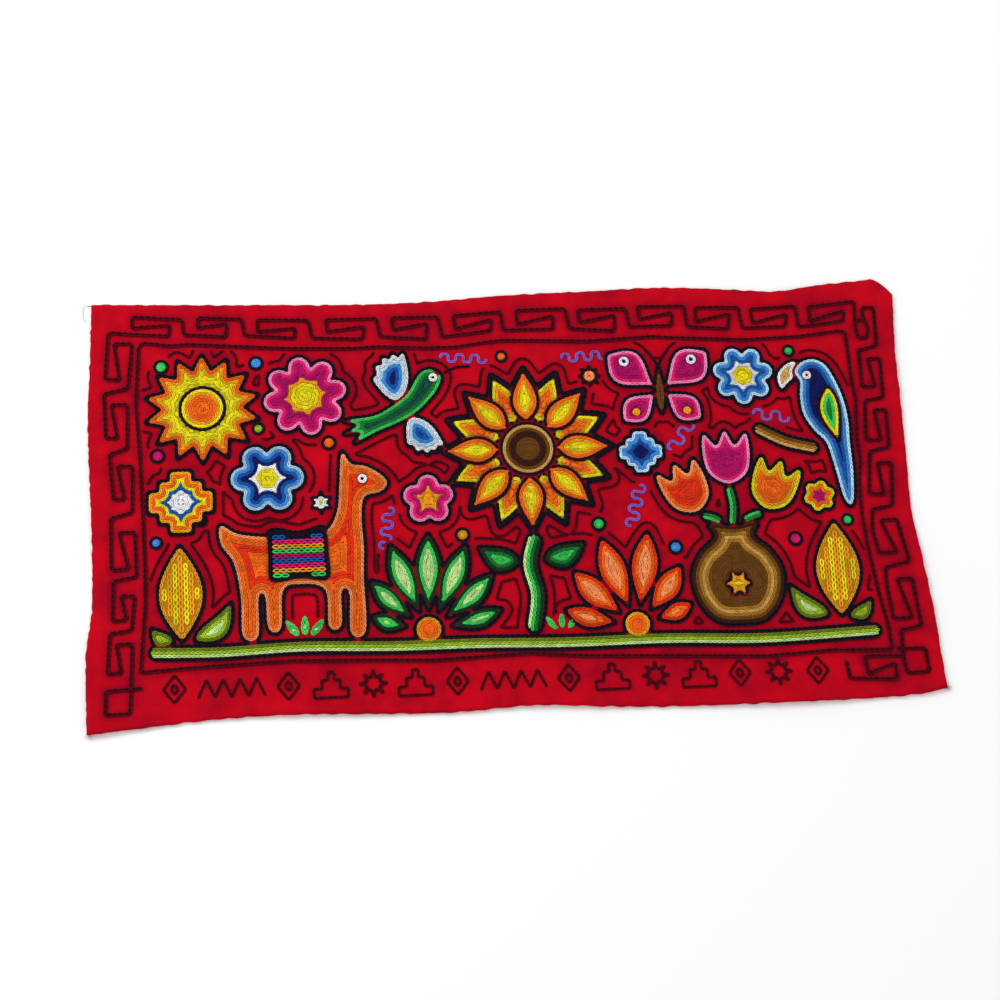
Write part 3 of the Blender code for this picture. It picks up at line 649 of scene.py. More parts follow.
def corner_marks(line, closed, window=3, sharp=50):
    """Indices where a line turns sharply."""
    if len(line) < 2 * window + 2:
        return []
    spots = line[:-1] if closed else line
    back = spots - np.roll(spots, window, axis=0)
    ahead = np.roll(spots, -window, axis=0) - spots
    turn = np.abs(np.angle((ahead[:, 0] + 1j * ahead[:, 1]) * (back[:, 0] - 1j * back[:, 1]) + 1e-12))
    if not closed:
        turn[:window] = 0
        turn[-window:] = 0
    peak = turn > math.radians(sharp)
    for shift in range(1, window + 1):
        peak &= (turn >= np.roll(turn, shift)) & (turn > np.roll(turn, -shift))
    return list(np.nonzero(peak)[0])


def runs_between_corners(line, closed):
    """A line cut at its sharp corners."""
    marks = corner_marks(line, closed)
    if not marks:
        return [line]
    if closed:
        line = np.vstack([line[marks[0]:-1], line[:marks[0] + 1]])
        marks = [mark - marks[0] for mark in marks[1:]]
    cuts = [0] + [mark for mark in marks if mark > 0] + [len(line) - 1]
    return [line[start:end + 1] for start, end in zip(cuts, cuts[1:]) if end > start]


def runs_where(line, keep):
    """The stretches of a line whose points are kept."""
    runs = []
    start = None
    for index, kept in enumerate(list(keep) + [False]):
        if kept and start is None:
            start = index
        elif not kept and start is not None:
            if index - start > 1:
                runs.append(line[start:index])
            start = None
    return runs


def clear_of(line, outlines, room):
    """Which points of a line stay a distance away from all the outlines."""
    keep = np.ones(len(line), bool)
    for outline in outlines:
        near = np.all((line > outline.min(0) - room) & (line < outline.max(0) + room), axis=1)
        if near.any():
            keep[near] &= depth_inside(line[near], outline) < -room
    return keep


def dye_of(colour):
    """A yarn's colour as seen, from 0 to 1."""
    return np.array(YARNS[colour]) / 255


class Stitching:
    """Collects chain stitches (place, direction, length, width, colour) and the filling under them."""
    # Shares of the stitch length: a wide row's stitches, the shortest run worked, and the places' drift
    WIDE_STRETCH = 1.3
    SHORTEST_RUN = 0.35
    DRIFT = 0.06
    # A stitch shorter than this isn't worked
    SHORTEST_STITCH = 1.2
    # Share of the pitch kept free beside an area that covers this one
    COVER_ROOM = 0.42
    # Tones of the filling under a single row and under an area: shares of the yarn's colour, darker as
    # painted shade in the gaps between the rows
    ROW_PAD_PAINTED_SHADE = 0.8
    AREA_PAD_PAINTED_SHADE = 0.7

    def __init__(self, seed):
        sizes = bpy.context.scene.wall_cloth_stitches
        self.pitch = sizes.pitch / MM
        self.length = sizes.length / MM
        self.rng = np.random.default_rng(seed)
        self.records = []
        self.pads = []

    def row(self, line, colour, spacing=0.0, closed=False):
        """One row of stitches along a line of close points."""
        width = spacing or self.pitch
        wanted = self.length * (self.WIDE_STRETCH if width > 1.2 * self.pitch else 1.0)
        dye = dye_of(colour) * self.rng.uniform(0.94, 1.05)
        for run in runs_between_corners(line, closed):
            marks = lengths_along(run)
            if marks[-1] < self.SHORTEST_RUN * wanted:
                continue
            count = max(1, int(round(marks[-1] / wanted)))
            places = np.linspace(0, marks[-1], count + 1)
            places[1:-1] += self.rng.uniform(-self.DRIFT, self.DRIFT, count - 1) * wanted
            spots = at_lengths(run, marks, places)
            for start, end in zip(spots, spots[1:]):
                self.stitch(start, end, width, dye)

    def single_row(self, line, colour, spacing=0.0, closed=False):
        """A row on its own, with flat filling under it so that the cloth doesn't show through; the filling is
        darker than the yarn, as painted shade between the loops.
        """
        half = 0.3 * (spacing or self.pitch)
        spots = np.vstack([line[:-1:2], line[-1:]])
        edges = np.stack([beside(spots, half), beside(spots, -half)], 1).reshape(-1, 2)
        quads = 2 * np.arange(len(spots) - 1)[:, None] + (0, 1, 3, 2)
        self.pads.append((edges, quads, np.tile(dye_of(colour) * self.ROW_PAD_PAINTED_SHADE, (len(edges), 1))))
        self.row(line, colour, spacing, closed)

    def stitch(self, start, end, width, dye):
        """One stitch of its own slight shade, unless it is too short to work."""
        along = end - start
        length = math.hypot(*along)
        if length < self.SHORTEST_STITCH:
            return
        shade = dye * self.rng.uniform(0.92, 1.06) + self.rng.uniform(-0.008, 0.008, 3)
        self.records.append((*start, *(along / length), length, width * self.rng.uniform(0.94, 1.04), *shade))

    def area(self, area, covered_by):
        """All the rows of one area, left out where another area covers it."""
        depth = DepthMap([area.outline])
        colours = area.colours.split()
        self.backing(depth, colours, covered_by, area.fill == "rings")

        def clipped(line, colour, spacing=0.0, margin=None, closed=False):
            """A row without the parts that are covered or too near the area's rim."""
            keep = clear_of(line, covered_by, self.COVER_ROOM * self.pitch)
            if margin is not None:
                keep &= depth.at(line) > margin
            if keep.all():
                self.row(line, colour, spacing, closed)
            else:
                for run in runs_where(line, keep):
                    self.row(run, colour, spacing)

        def ring(level, colour):
            """Closed rows at one depth, or a knot where they would be too short."""
            for line in depth.level_lines(level):
                line = line_steps(line, closed=True)
                if len(line) < 1.6 * self.length:
                    self.knot(line.mean(0), colour, covered_by)
                else:
                    clipped(line, colour, closed=True)

        if area.fill != "band":
            ring(0.5 * self.pitch, colours[0])
        if area.fill == "rings":
            for k in range(1, int(depth.values.max() / self.pitch + 0.5)):
                ring((k + 0.5) * self.pitch, colours[min(k, len(colours) - 1)])
            self.middle(depth, colours, covered_by)
        elif area.fill == "stripes":
            self.hatch(area, colours[1:], clipped)
        elif area.fill == "band":
            tips = area.spine[[0, -1]] + (area.spine[[0, -1]] - area.spine[[1, -2]]) * 3
            spine = np.vstack([tips[:1], area.spine, tips[1:]])
            for k, colour in enumerate(colours):
                side = beside(spine, self.pitch * ((len(colours) - 1) / 2 - k))
                clipped(line_steps(side), colour, margin=0.1 * self.pitch)

    def backing(self, depth, colours, covered_by, ringed):
        """Flat filling under the rows, so that no ground shows between them; it is darker than the yarn, as
        painted shade in the gaps between the rows.
        """
        values = depth.values[::2, ::2]
        grid = np.stack(np.meshgrid(*(np.arange(n) * 2 for n in values.shape), indexing="ij"), -1) + depth.low
        kept = values > 0.3 * self.pitch
        for cover in covered_by:
            near = kept & np.all((grid > cover.min(0)) & (grid < cover.max(0)), axis=-1)
            kept[near] &= depth_inside(grid[near], cover) < 1.5
        faces = kept[:-1, :-1] & kept[1:, :-1] & kept[1:, 1:] & kept[:-1, 1:]
        numbers = np.arange(kept.size).reshape(kept.shape)
        i, j = np.nonzero(faces)
        quads = np.stack([numbers[i, j], numbers[i + 1, j], numbers[i + 1, j + 1], numbers[i, j + 1]], 1)
        used, quads = np.unique(quads, return_inverse=True)
        dyes = np.array([dye_of(colour) for colour in colours])
        rings = np.clip((values / self.pitch).astype(int), 0, len(dyes) - 1)
        tones = dyes[rings.ravel()[used]] if ringed else np.tile(dyes.min(0), (len(used), 1))
        self.pads.append((grid.reshape(-1, 2)[used], quads.reshape(-1, 4), tones * self.AREA_PAD_PAINTED_SHADE))

    def hatch(self, area, colours, clipped):
        """Parallel thick rows across an area."""
        along = headings(np.radians([area.turn]))[0]
        across = np.array([-along[1], along[0]])
        middle = area.outline.mean(0)
        reach = np.abs((area.outline - middle) @ across).max()
        length = np.abs((area.outline - middle) @ along).max() + 4
        for k in range(-int(reach / area.spacing) - 1, int(reach / area.spacing) + 2):
            centre = middle + across * k * area.spacing
            line = line_steps([centre - along * length, centre + along * length])
            clipped(line, colours[k % len(colours)], area.spacing, margin=self.pitch + 0.35 * area.spacing)

    def middle(self, depth, colours, covered_by):
        """Single stitches along the middle of a shape where its rings leave a slit."""
        spots, left_over = depth.middle_spots(self.pitch)
        kept = []
        for index in np.argsort(-left_over):
            spot = spots[index]
            if any(math.dist(spot, other) < 0.85 * self.length for other in kept):
                continue
            if not clear_of(spot[None], covered_by, 0.6 * self.pitch)[0]:
                continue
            kept.append(spot)
            near = spots[np.linalg.norm(spots - spot, axis=1) < 5] - spot
            along = np.array([1.0, 0.0])
            if len(near) > 3:
                along = np.linalg.svd(near - near.mean(0))[2][0]
            ring = int((depth.at(spot[None])[0] - 0.5 * self.pitch) / self.pitch) + 1
            width = self.pitch * min(1.0, 0.35 + 1.5 * (left_over[index] / self.pitch - 0.6))
            half = along * self.length * 0.48
            colour = colours[min(ring, len(colours) - 1)]
            self.stitch(spot - half, spot + half, max(width, 0.6 * self.pitch), dye_of(colour))

    def knot(self, spot, colour, covered_by):
        """A short single stitch."""
        if clear_of(spot[None], covered_by, 0.4 * self.pitch)[0]:
            half = np.array([0.5, 0.1]) * self.pitch
            self.stitch(spot - half, spot + half, self.pitch, dye_of(colour))


def cloth_height(spots):
    """Height of the cloth's worked face in millimetres: flat, with a waving rim and soft swells."""
    x, y = spots[:, 0], spots[:, 1]
    over = np.hypot(np.maximum(0, np.abs(x) - FLAT_HALF_LENGTH) / RIM_WIDTH,
                    np.maximum(0, np.abs(y) - FLAT_HALF_HEIGHT) / RIM_WIDTH)
    rise = np.minimum(1, over) ** 1.5
    wave = (np.sin(2 * math.pi * x / RIPPLE_LENGTH + 0.7)
            * np.cos(2 * math.pi * y / RIPPLE_HEIGHT - 0.4))
    puff = bpy.context.scene.wall_cloth.puff / MM
    # Waves of unlike lengths, so that no two swells are the same
    swell = (np.sin(x / 19 + 1.3 * np.sin(y / 31)) * np.sin(y / 23 + 0.9 * np.sin(x / 37))
             + 0.6 * np.sin(x / 41 - y / 29))
    rim = 0.3 + 0.7 * np.minimum(1, over * 2)
    return CLOTH_TOP + RIM_LIFT * rise * (0.5 + 0.5 * wave) + puff * rim * (0.5 + 0.3 * swell)


def chain_loop():
    """One loop of yarn as arrays: a spun ring whose points are led along the chain-stitch path."""
    ring = bmesh.new()
    bmesh.ops.create_circle(ring, segments=STRAND_SIDES, radius=TUBE_RADIUS)
    bmesh.ops.rotate(ring, verts=ring.verts, matrix=Matrix.Rotation(math.radians(90), 3, "X"))
    bmesh.ops.translate(ring, verts=ring.verts, vec=(1, 0, 0))
    bmesh.ops.spin(ring, geom=ring.edges[:], cent=(0, 0, 0), axis=(0, 0, 1), angle=2 * math.pi,
                   steps=len(CHAIN_LOOP), use_merge=True)
    bmesh.ops.remove_doubles(ring, verts=ring.verts, dist=0.001)
    bmesh.ops.recalc_face_normals(ring, faces=ring.faces)
    ring.verts.index_update()
    count = len(CHAIN_LOOP)
    path = np.array(CHAIN_LOOP)
    shares, offsets, labels = [], [], []
    for vertex in ring.verts:
        turn = math.atan2(vertex.co.y, vertex.co.x) % (2 * math.pi)
        step = round(turn / (2 * math.pi) * count) % count
        along = path[(step + 1) % count] - path[step - 1]
        outward = Vector((along[1] * LOOP_WIDTH, -along[0] * LOOP_LENGTH)).normalized()
        radial = (math.hypot(vertex.co.x, vertex.co.y) - 1) / TUBE_RADIUS
        shares.append(path[step])
        offsets.append((outward.x * radial, outward.y * radial, vertex.co.z / TUBE_RADIUS))
        side = math.atan2(vertex.co.z, radial * TUBE_RADIUS) % (2 * math.pi)
        labels.append((step, round(side / (2 * math.pi) * STRAND_SIDES) % STRAND_SIDES))
    # The operators may start a face at any corner, so each is turned to start at its lowest point
    faces, uvs = [], []
    for face in ring.faces:
        corners = [vertex.index for vertex in face.verts]
        first = corners.index(min(corners))
        faces.append(corners[first:] + corners[:first])
    faces.sort()
    for corners in faces:
        steps = [labels[index][0] for index in corners]
        sides = [labels[index][1] for index in corners]
        if max(steps) - min(steps) > 1:
            steps = [step or count for step in steps]
        if max(sides) - min(sides) > 1:
            sides = [side or STRAND_SIDES for side in sides]
        uvs += [(step / count, side / STRAND_SIDES) for step, side in zip(steps, sides)]
    ring.free()
    return np.array(shares), np.array(offsets), np.array(faces), np.array(uvs)


def linear(colours):
    """Screen colours from 0 to 1 as linear light."""
    seen = np.clip(colours, 0.0, 1.0)
    return np.where(seen < 0.04045, seen / 12.92, ((seen + 0.055) / 1.055) ** 2.4)


def mesh_from_arrays(name, points, faces):
    """A mesh from arrays of points and of faces with equal corner counts."""
    mesh = bpy.data.meshes.new(name)
    corners = faces.shape[1]
    mesh.vertices.add(len(points))
    mesh.vertices.foreach_set("co", points.astype(np.float32).ravel())
    mesh.loops.add(faces.size)
    mesh.loops.foreach_set("vertex_index", faces.astype(np.int32).ravel())
    mesh.polygons.add(len(faces))
    mesh.polygons.foreach_set("loop_start", np.arange(0, faces.size, corners, dtype=np.int32))
    mesh.update(calc_edges=True)
    mesh.shade_smooth()
    return mesh


def wool():
    """The yarn material, made once."""
    return bpy.data.materials.get("plied_wool_yarn") or yarn_material("plied_wool_yarn")


def stitched_piece(name, stitching):
    """One piece that joins all the stitches collected and the filling under them."""
    sizes = bpy.context.scene.wall_cloth_stitches
    shares, offsets, faces, uvs = chain_loop()
    records = np.array(stitching.records)
    count, points_each = len(records), len(shares)
    place, along = records[:, 0:2], records[:, 2:4]
    length, width = records[:, 4, None], records[:, 5, None]
    across = leftward(along)
    strand = sizes.strand / MM / 2 * (width / stitching.pitch) ** 0.5
    reach = shares[:, 0] * length + offsets[:, 0] * strand
    spread = shares[:, 1] * np.maximum(width - 2 * strand, 0.6) + offsets[:, 1] * strand
    flat = place[:, None] + along[:, None] * reach[..., None] + across[:, None] * spread[..., None]
    lift = 0.55 * strand + shares[:, 2] * (sizes.rise / MM) + offsets[:, 2] * strand
    height = cloth_height(place + along * length / 2)[:, None] + lift
    all_points = [np.concatenate([flat, height[..., None]], -1).reshape(-1, 3) * MM]
    all_faces = [(faces[None] + np.arange(count)[:, None, None] * points_each).reshape(-1, 4)]
    colours = [np.repeat(linear(records[:, 6:9]), points_each, 0)]
    ply_uvs = [np.tile(uvs, (count, 1))]
    start = len(all_points[0])
    for level, (spots, quads, tones) in enumerate(stitching.pads):
        heights = cloth_height(spots) + PAD_HEIGHT - PAD_STEP * min(level, PAD_LEVELS)
        all_points.append(np.column_stack([spots, heights]) * MM)
        all_faces.append(quads + start)
        colours.append(linear(tones))
        ply_uvs.append(np.zeros((quads.size, 2)))
        start += len(spots)
    mesh = mesh_from_arrays(name, np.concatenate(all_points), np.concatenate(all_faces))
    dyes = mesh.attributes.new("yarn_colour", "FLOAT_COLOR", "POINT")
    dyes.data.foreach_set("color", np.column_stack([np.concatenate(colours), np.ones(start)])
                          .astype(np.float32).ravel())
    ply = mesh.uv_layers.new(name="ply")
    ply.data.foreach_set("uv", np.concatenate(ply_uvs).astype(np.float32).ravel())
    return show(name, mesh, wool())


def show(name, mesh, material):
    """Links a finished mesh as a piece on the one body."""
    piece = bpy.data.objects.new(name, mesh)
    mesh.materials.append(material)
    bpy.context.scene.collection.objects.link(piece)
    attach(piece, "root")
    return piece


class Socket:
    """A node output that can be reckoned with."""

    def __init__(self, nodes, output):
        self.nodes = nodes
        self.output = output

    def math(self, operation, *others):
        return self.nodes.make("ShaderNodeMath", {"operation": operation}, [self, *others])[0]

    def __add__(self, other):
        return self.math("ADD", other)

    def __mul__(self, other):
        return self.math("MULTIPLY", other)

    def __sub__(self, other):
        return self.math("SUBTRACT", other)

    def __rsub__(self, other):
        return self.nodes.make("ShaderNodeMath", {"operation": "SUBTRACT"}, [other, self])[0]

    __radd__ = __add__
    __rmul__ = __mul__


class Nodes:
    """A material's nodes, made one call at a time."""

    def __init__(self, name):
        self.material = bpy.data.materials.new(name)
        self.material.use_nodes = True
        self.tree = self.material.node_tree
        self.shader = self.tree.nodes["Principled BSDF"]

    def make(self, kind, settings=None, inputs=()):
        """A node with its settings, then its sockets by place or by name; gives its outputs."""
        node = self.tree.nodes.new(kind)
        for key, value in (settings or {}).items():
            setattr(node, key, value)
        pairs = inputs.items() if isinstance(inputs, dict) else enumerate(inputs)
        for key, value in pairs:
            self.put(node.inputs[key], value)
        return [Socket(self, output) for output in node.outputs]

    def put(self, socket, value):
        """Links a value that varies to a socket, or sets one that doesn't."""
        if isinstance(value, Socket):
            self.tree.links.new(value.output, socket)
        else:
            socket.default_value = value

    def mix(self, factor, first, second, blend="MIX"):
        """A colour between two, or blended."""
        first, second = (value if isinstance(value, Socket) else (*value[:3], 1) for value in (first, second))
        return self.make("ShaderNodeMix", {"data_type": "RGBA", "blend_type": blend},
                         {0: factor, 6: first, 7: second})[2]

    def toned(self, colour, tone):
        """A colour made lighter or darker by a value."""
        grey = self.make("ShaderNodeCombineColor", {}, [tone, tone, tone])[0]
        return self.mix(1.0, colour, grey, "MULTIPLY")

    def noise(self, coordinates, scale, detail, roughness):
        """An even noise."""
        return self.make("ShaderNodeTexNoise", {}, {
            "Vector": coordinates, "Scale": scale, "Detail": detail, "Roughness": roughness})[0]

    def finish(self, colour, roughness, height, distance, constants):
        """The finished material from what varies over it and the shader's own constants."""
        bump = self.make("ShaderNodeBump", {}, {"Strength": 1.0, "Distance": distance, "Height": height})[0]
        self.put(self.shader.inputs["Base Color"], colour)
        self.put(self.shader.inputs["Roughness"], roughness)
        self.put(self.shader.inputs["Normal"], bump)
        for key, value in constants.items():
            self.shader.inputs[key].default_value = value
        return self.material


def felt_material(name, red, shade):
    """Dyed wool cloth, woven and then felted: blotches, a faint plain weave, loose fibres, and painted shade
    beside the stitches.
    """
    nodes = Nodes(name)
    place = nodes.make("ShaderNodeTexCoord")[3]
    blotches = nodes.noise(place, 14.0, 3.0, 0.55)
    clouds = nodes.noise(place, 55.0, 4.0, 0.6)
    fibres = nodes.noise(place, 900.0, 3.0, 0.7)
    x, y, _ = nodes.make("ShaderNodeSeparateXYZ", {}, [place])
    threads = 2 * math.pi / 0.00085
    weave = (x * threads).math("SINE") * (y * threads).math("SINE")
    patch = nodes.make("ShaderNodeMapRange", {}, [blotches * 0.6 + clouds * 0.4, 0.40, 0.66, 0.0, 1.0])[0]
    # Painted shade: near the stitches the cloth's red is mixed towards its shade colour
    painted_shade = nodes.make("ShaderNodeAttribute", {"attribute_name": "painted_stitch_shade"})[2]
    colour = nodes.mix(patch * 0.75 + painted_shade * 0.55, red, shade)
    tone = fibres * 0.5 + 0.76 + weave * 0.05
    colour = nodes.toned(colour, tone)
    height = weave * 0.35 + fibres * 0.9 + clouds * 0.5
    return nodes.finish(colour, 0.9 - fibres * 0.15, height, 0.00022, {
        "Sheen Weight": 0.02, "Sheen Roughness": 0.6, "Sheen Tint": (1.0, 0.25, 0.25, 1.0),
        "Specular IOR Level": 0.04})


def yarn_material(name):
    """Plied wool in the stitch's own dye."""
    nodes = Nodes(name)
    place = nodes.make("ShaderNodeTexCoord")[3]
    dye = nodes.make("ShaderNodeAttribute", {"attribute_name": "yarn_colour"})[0]
    ply = nodes.make("ShaderNodeUVMap", {"uv_map": "ply"})[0]
    around, strand, _ = nodes.make("ShaderNodeSeparateXYZ", {}, [ply])
    twist = ((around * 5.0 + strand * 2.0) * (2 * math.pi)).math("SINE")
    fibres = nodes.noise(place, 2400.0, 2.0, 0.6)
    fading = nodes.noise(place, 130.0, 3.0, 0.6)
    tone = fibres * 0.5 + fading * 0.3 + twist * 0.07 + 0.62
    colour = nodes.toned(dye, tone)
    height = twist * 0.5 + fibres * 0.8
    return nodes.finish(colour, 0.78 + fibres * 0.15, height, 0.00016, {
        "Sheen Weight": 0.03, "Sheen Roughness": 0.45, "Specular IOR Level": 0.07})


def thread_material(name, first, second):
    """Fine cotton thread."""
    nodes = Nodes(name)
    place = nodes.make("ShaderNodeTexCoord")[3]
    fibres = nodes.noise(place, 1500.0, 3.0, 0.7)
    colour = nodes.mix(fibres, first, second)
    return nodes.finish(colour, 0.7 + fibres * 0.2, fibres, 0.0001, {"Sheen Weight": 0.2})


class Edges:
    """The four cut edges as smooth curves that stray a little."""

    def __init__(self, wobble):
        rng = np.random.default_rng(11)
        self.sides = {}
        for name, points in (("top", TOP_EDGE), ("bottom", BOTTOM_EDGE), ("left", LEFT_EDGE),
                             ("right", RIGHT_EDGE)):
            curve = smooth(points, 12, closed=False)
            waves = [(rng.uniform(0.35, 1.0), rng.uniform(8, 34), rng.uniform(0, 6.28)) for _ in range(6)]
            self.sides[name] = (curve, lengths_along(curve), waves)
        self.wobble = wobble

    def at(self, name, shares):
        """Points at shares of an edge's length; the stray dies out at the corners."""
        curve, marks, waves = self.sides[name]
        places = np.asarray(shares) * marks[-1]
        spots = at_lengths(curve, marks, places)
        fade = np.minimum(1, np.minimum(places, marks[-1] - places) / CORNER_FADE)
        stray = sum(size * np.sin(places / span * 2 * math.pi + phase) for size, span, phase in waves)
        axis = 1 if name in ("top", "bottom") else 0
        # The six waves together are about 2.5 high
        spots[:, axis] += stray / 2.5 * self.wobble / MM * fade
        return spots


def painted_stitch_shade(spots):
    """How much painted shade darkens the cloth near the stitches at each spot, from 0 to 1."""
    gap = np.maximum(0, -DepthMap(figure_outlines(), 24).at(spots))
    shade = np.exp(-(gap / FIGURE_SHADE_REACH) ** 2)
    for line in [FRAME_LINE + FRAME_LINE[:1], *FRETS]:
        gap = distance_to(spots, np.array(line, float))
        shade = np.maximum(shade, np.exp(-(gap / LINE_SHADE_REACH) ** 2))
    return shade


class WALLCLOTH_OT_ground(bpy.types.Operator):
    """Make the felted ground cloth"""
    bl_idname = "wallcloth.ground"
    bl_label = "Ground cloth"

    def execute(self, context):
        sizes = context.scene.wall_cloth
        edges = Edges(sizes.edge_wobble)
        columns, rows = (round(side / sizes.spacing) for side in CLOTH_SIZE)
        shape = bmesh.new()
        bmesh.ops.create_grid(shape, x_segments=columns, y_segments=rows, size=0.5)
        flat = np.array([vertex.co[:2] for vertex in shape.verts]) + 0.5
        u, v = flat[:, :1], flat[:, 1:]
        top, bottom = edges.at("top", u[:, 0]), edges.at("bottom", u[:, 0])
        left, right = edges.at("left", v[:, 0]), edges.at("right", v[:, 0])
        corners = [edges.at(name, [share])[0] for name, share in
                   (("bottom", 0), ("bottom", 1), ("top", 0), ("top", 1))]
        spots = (bottom * (1 - v) + top * v + left * (1 - u) + right * u
                 - corners[0] * (1 - u) * (1 - v) - corners[1] * u * (1 - v)
                 - corners[2] * (1 - u) * v - corners[3] * u * v)
        for vertex, place in zip(shape.verts, np.column_stack([spots, cloth_height(spots)]) * MM):
            vertex.co = place
        mesh = bpy.data.meshes.new("felted_ground_cloth")
        shape.to_mesh(mesh)
        shape.free()
        mesh.shade_smooth()
        # Painted shade beside the stitches, kept on the cloth's points for its material
        painted_shade = mesh.attributes.new("painted_stitch_shade", "FLOAT", "POINT")
        painted_shade.data.foreach_set("value", painted_stitch_shade(spots).astype(np.float32))
        cloth = show("felted_ground_cloth", mesh,
                     felt_material("red_felted_wool", sizes.colour, sizes.shade))
        body = cloth.modifiers.new("thickness", "SOLIDIFY")
        body.thickness = sizes.thickness
        body.offset = -1
        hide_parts("ground_cloth")
        return {"FINISHED"}


def hair_mesh(name, roots, directions, lengths, radius, rng):
    """Fine tapering three-sided fibres, joined."""
    count = len(roots)
    steps = 4
    t = np.linspace(0, 1, steps)
    side = np.column_stack([leftward(directions), np.zeros(count)])
    curl = rng.normal(0, 0.35, count)
    lift = rng.uniform(-0.25, 0.3, count)
    spine = (roots[:, None] + directions[:, None] * (t[None, :, None] * lengths[:, None, None])
             + side[:, None] * ((curl * lengths)[:, None] * t ** 2)[..., None])
    spine[:, :, 2] += (lift * lengths)[:, None] * t * (1 - 0.6 * t)
    taper = radius * (1 - 0.75 * t)
    turns = np.arange(3) * 2 * math.pi / 3
    ring = (side[:, None, None] * np.cos(turns)[None, None, :, None]
            + np.array([0, 0, 1.0]) * np.sin(turns)[None, None, :, None])
    points = (spine[:, :, None] + ring * taper[None, :, None, None]).reshape(-1, 3)
    faces = []
    for step in range(steps - 1):
        for k in range(3):
            here, ahead = step * 3 + k, step * 3 + (k + 1) % 3
            faces += [(here, ahead, ahead + 3), (here, ahead + 3, here + 3)]
    last = (steps - 1) * 3
    faces += [(0, 2, 1), (last, last + 1, last + 2)]
    all_faces = (np.array(faces)[None] + np.arange(count)[:, None, None] * steps * 3).reshape(-1, 3)
    return mesh_from_arrays(name, points * MM, all_faces)


class WALLCLOTH_OT_fuzz(bpy.types.Operator):
    """Fray the cut edges and hang the loose corner thread"""
    bl_idname = "wallcloth.fuzz"
    bl_label = "Frayed edges"

    def execute(self, context):
        sizes = context.scene.wall_cloth
        edges = Edges(sizes.edge_wobble)
        rng = np.random.default_rng(23)
        bunches = []
        for name, turn, share in (("top", 90, 0.36), ("bottom", -90, 0.36), ("left", 180, 0.14),
                                  ("right", 0, 0.14)):
            count = int(sizes.fuzz_count * share)
            spots = edges.at(name, rng.uniform(0.002, 0.998, count))
            ways = headings(math.radians(turn) + rng.normal(0, 0.75, count))
            low = cloth_height(spots) - rng.uniform(0.2, sizes.thickness / MM - 0.1, count)
            bunches.append((np.column_stack([spots - ways * 0.6, low]), ways))
        total = sum(len(ways) for _, ways in bunches)
        lengths = sizes.fuzz_length / MM * rng.uniform(0.3, 1.1, total) ** 1.3
        self.fibres("edge_fuzz", bunches, lengths, 0.075, rng,
                    thread_material("red_fibre", (0.3, 0.001, 0.008, 1), (0.46, 0.008, 0.02, 1)))
        self.corner_fibres(rng)
        self.corner_thread()
        return {"FINISHED"}

    def fibres(self, name, bunches, lengths, radius, rng, material):
        """Fibres that stand out level from their roots, as one piece."""
        roots, ways = (np.concatenate(part) for part in zip(*bunches))
        directions = np.column_stack([ways, np.zeros(len(ways))])
        piece = show(name, hair_mesh(name, roots, directions, lengths, radius, rng), material)

    def corner_fibres(self, rng):
        """Pale loose fibres that stick out at the two lower corners."""
        bunches = []
        for x, y, turn, count in ((-429, -227, -112, 46), (431, -220, -12, 60)):
            ways = headings(np.radians(turn + rng.normal(0, 24, count)))
            spots = rng.normal((x, y), (1.6, 1.0), (count, 2))
            bunches.append((np.column_stack([spots, rng.uniform(1, 4, count)]), ways))
        lengths = rng.uniform(2.5, 6.0, sum(len(ways) for _, ways in bunches))
        self.fibres("corner_fibres", bunches, lengths, 0.12, rng,
                    thread_material("pale_fibre", (0.42, 0.36, 0.3, 1), (0.6, 0.45, 0.42, 1)))

    def corner_thread(self):
        """The loose end of a sewing thread at the top left corner, dark at its root."""
        self.thread("corner_thread_root", [(-426, 221.5, 3.4), (-429.5, 222.8, 3.4), (-433, 224, 2.2)], 0.42,
                    thread_material("dark_cotton", (0.03, 0.01, 0.02, 1), (0.08, 0.02, 0.03, 1)))
        self.thread("corner_thread", [(-432.6, 223.9, 2.3), (-435.5, 224.4, 1.4), (-437.2, 221, 0.8),
                                      (-437.8, 215, 0.5), (-436.8, 209.5, 0.5), (-435, 206.5, 0.6)], 0.34,
                    thread_material("white_cotton", (0.55, 0.56, 0.54, 1), (0.4, 0.41, 0.4, 1)))

    def thread(self, name, route, radius, material):
        """A round thread along a smooth route."""
        curve = bpy.data.curves.new(name, "CURVE")
        curve.dimensions = "3D"
        curve.bevel_depth = radius * MM
        curve.bevel_resolution = 2
        curve.resolution_u = 8
        curve.use_fill_caps = True
        spline = curve.splines.new("BEZIER")
        spline.bezier_points.add(len(route) - 1)
        for point, spot in zip(spline.bezier_points, route):
            point.co = Vector(spot) * MM
            point.handle_left_type = "AUTO"
            point.handle_right_type = "AUTO"
        show(name, curve, material)


def stitch_group(group):
    """Stitches every motif of one group."""
    for index, motif in enumerate(motifs()):
        if motif.group != group:
            continue
        stitching = Stitching(seed=100 + index)
        covers = []
        for area in motif.areas:
            stitching.area(area, covers)
            covers.append(area.outline)
        for row in motif.rows:
            stitching.single_row(line_steps(row), "black")
        piece = stitched_piece(f"{motif.name}_stitches", stitching)
        if motif.nodes:
            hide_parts(*motif.nodes)


class WALLCLOTH_OT_animals(bpy.types.Operator):
    """Stitch the llama, the birds and the butterfly"""
    bl_idname = "wallcloth.animals"
    bl_label = "Animals"

    def execute(self, context):
        stitch_group("animals")
        return {"FINISHED"}


class WALLCLOTH_OT_flowers(bpy.types.Operator):
    """Stitch the sun, the sunflower, the rosettes and the tulips"""
    bl_idname = "wallcloth.flowers"
    bl_label = "Flowers"

    def execute(self, context):
        stitch_group("flowers")
        return {"FINISHED"}


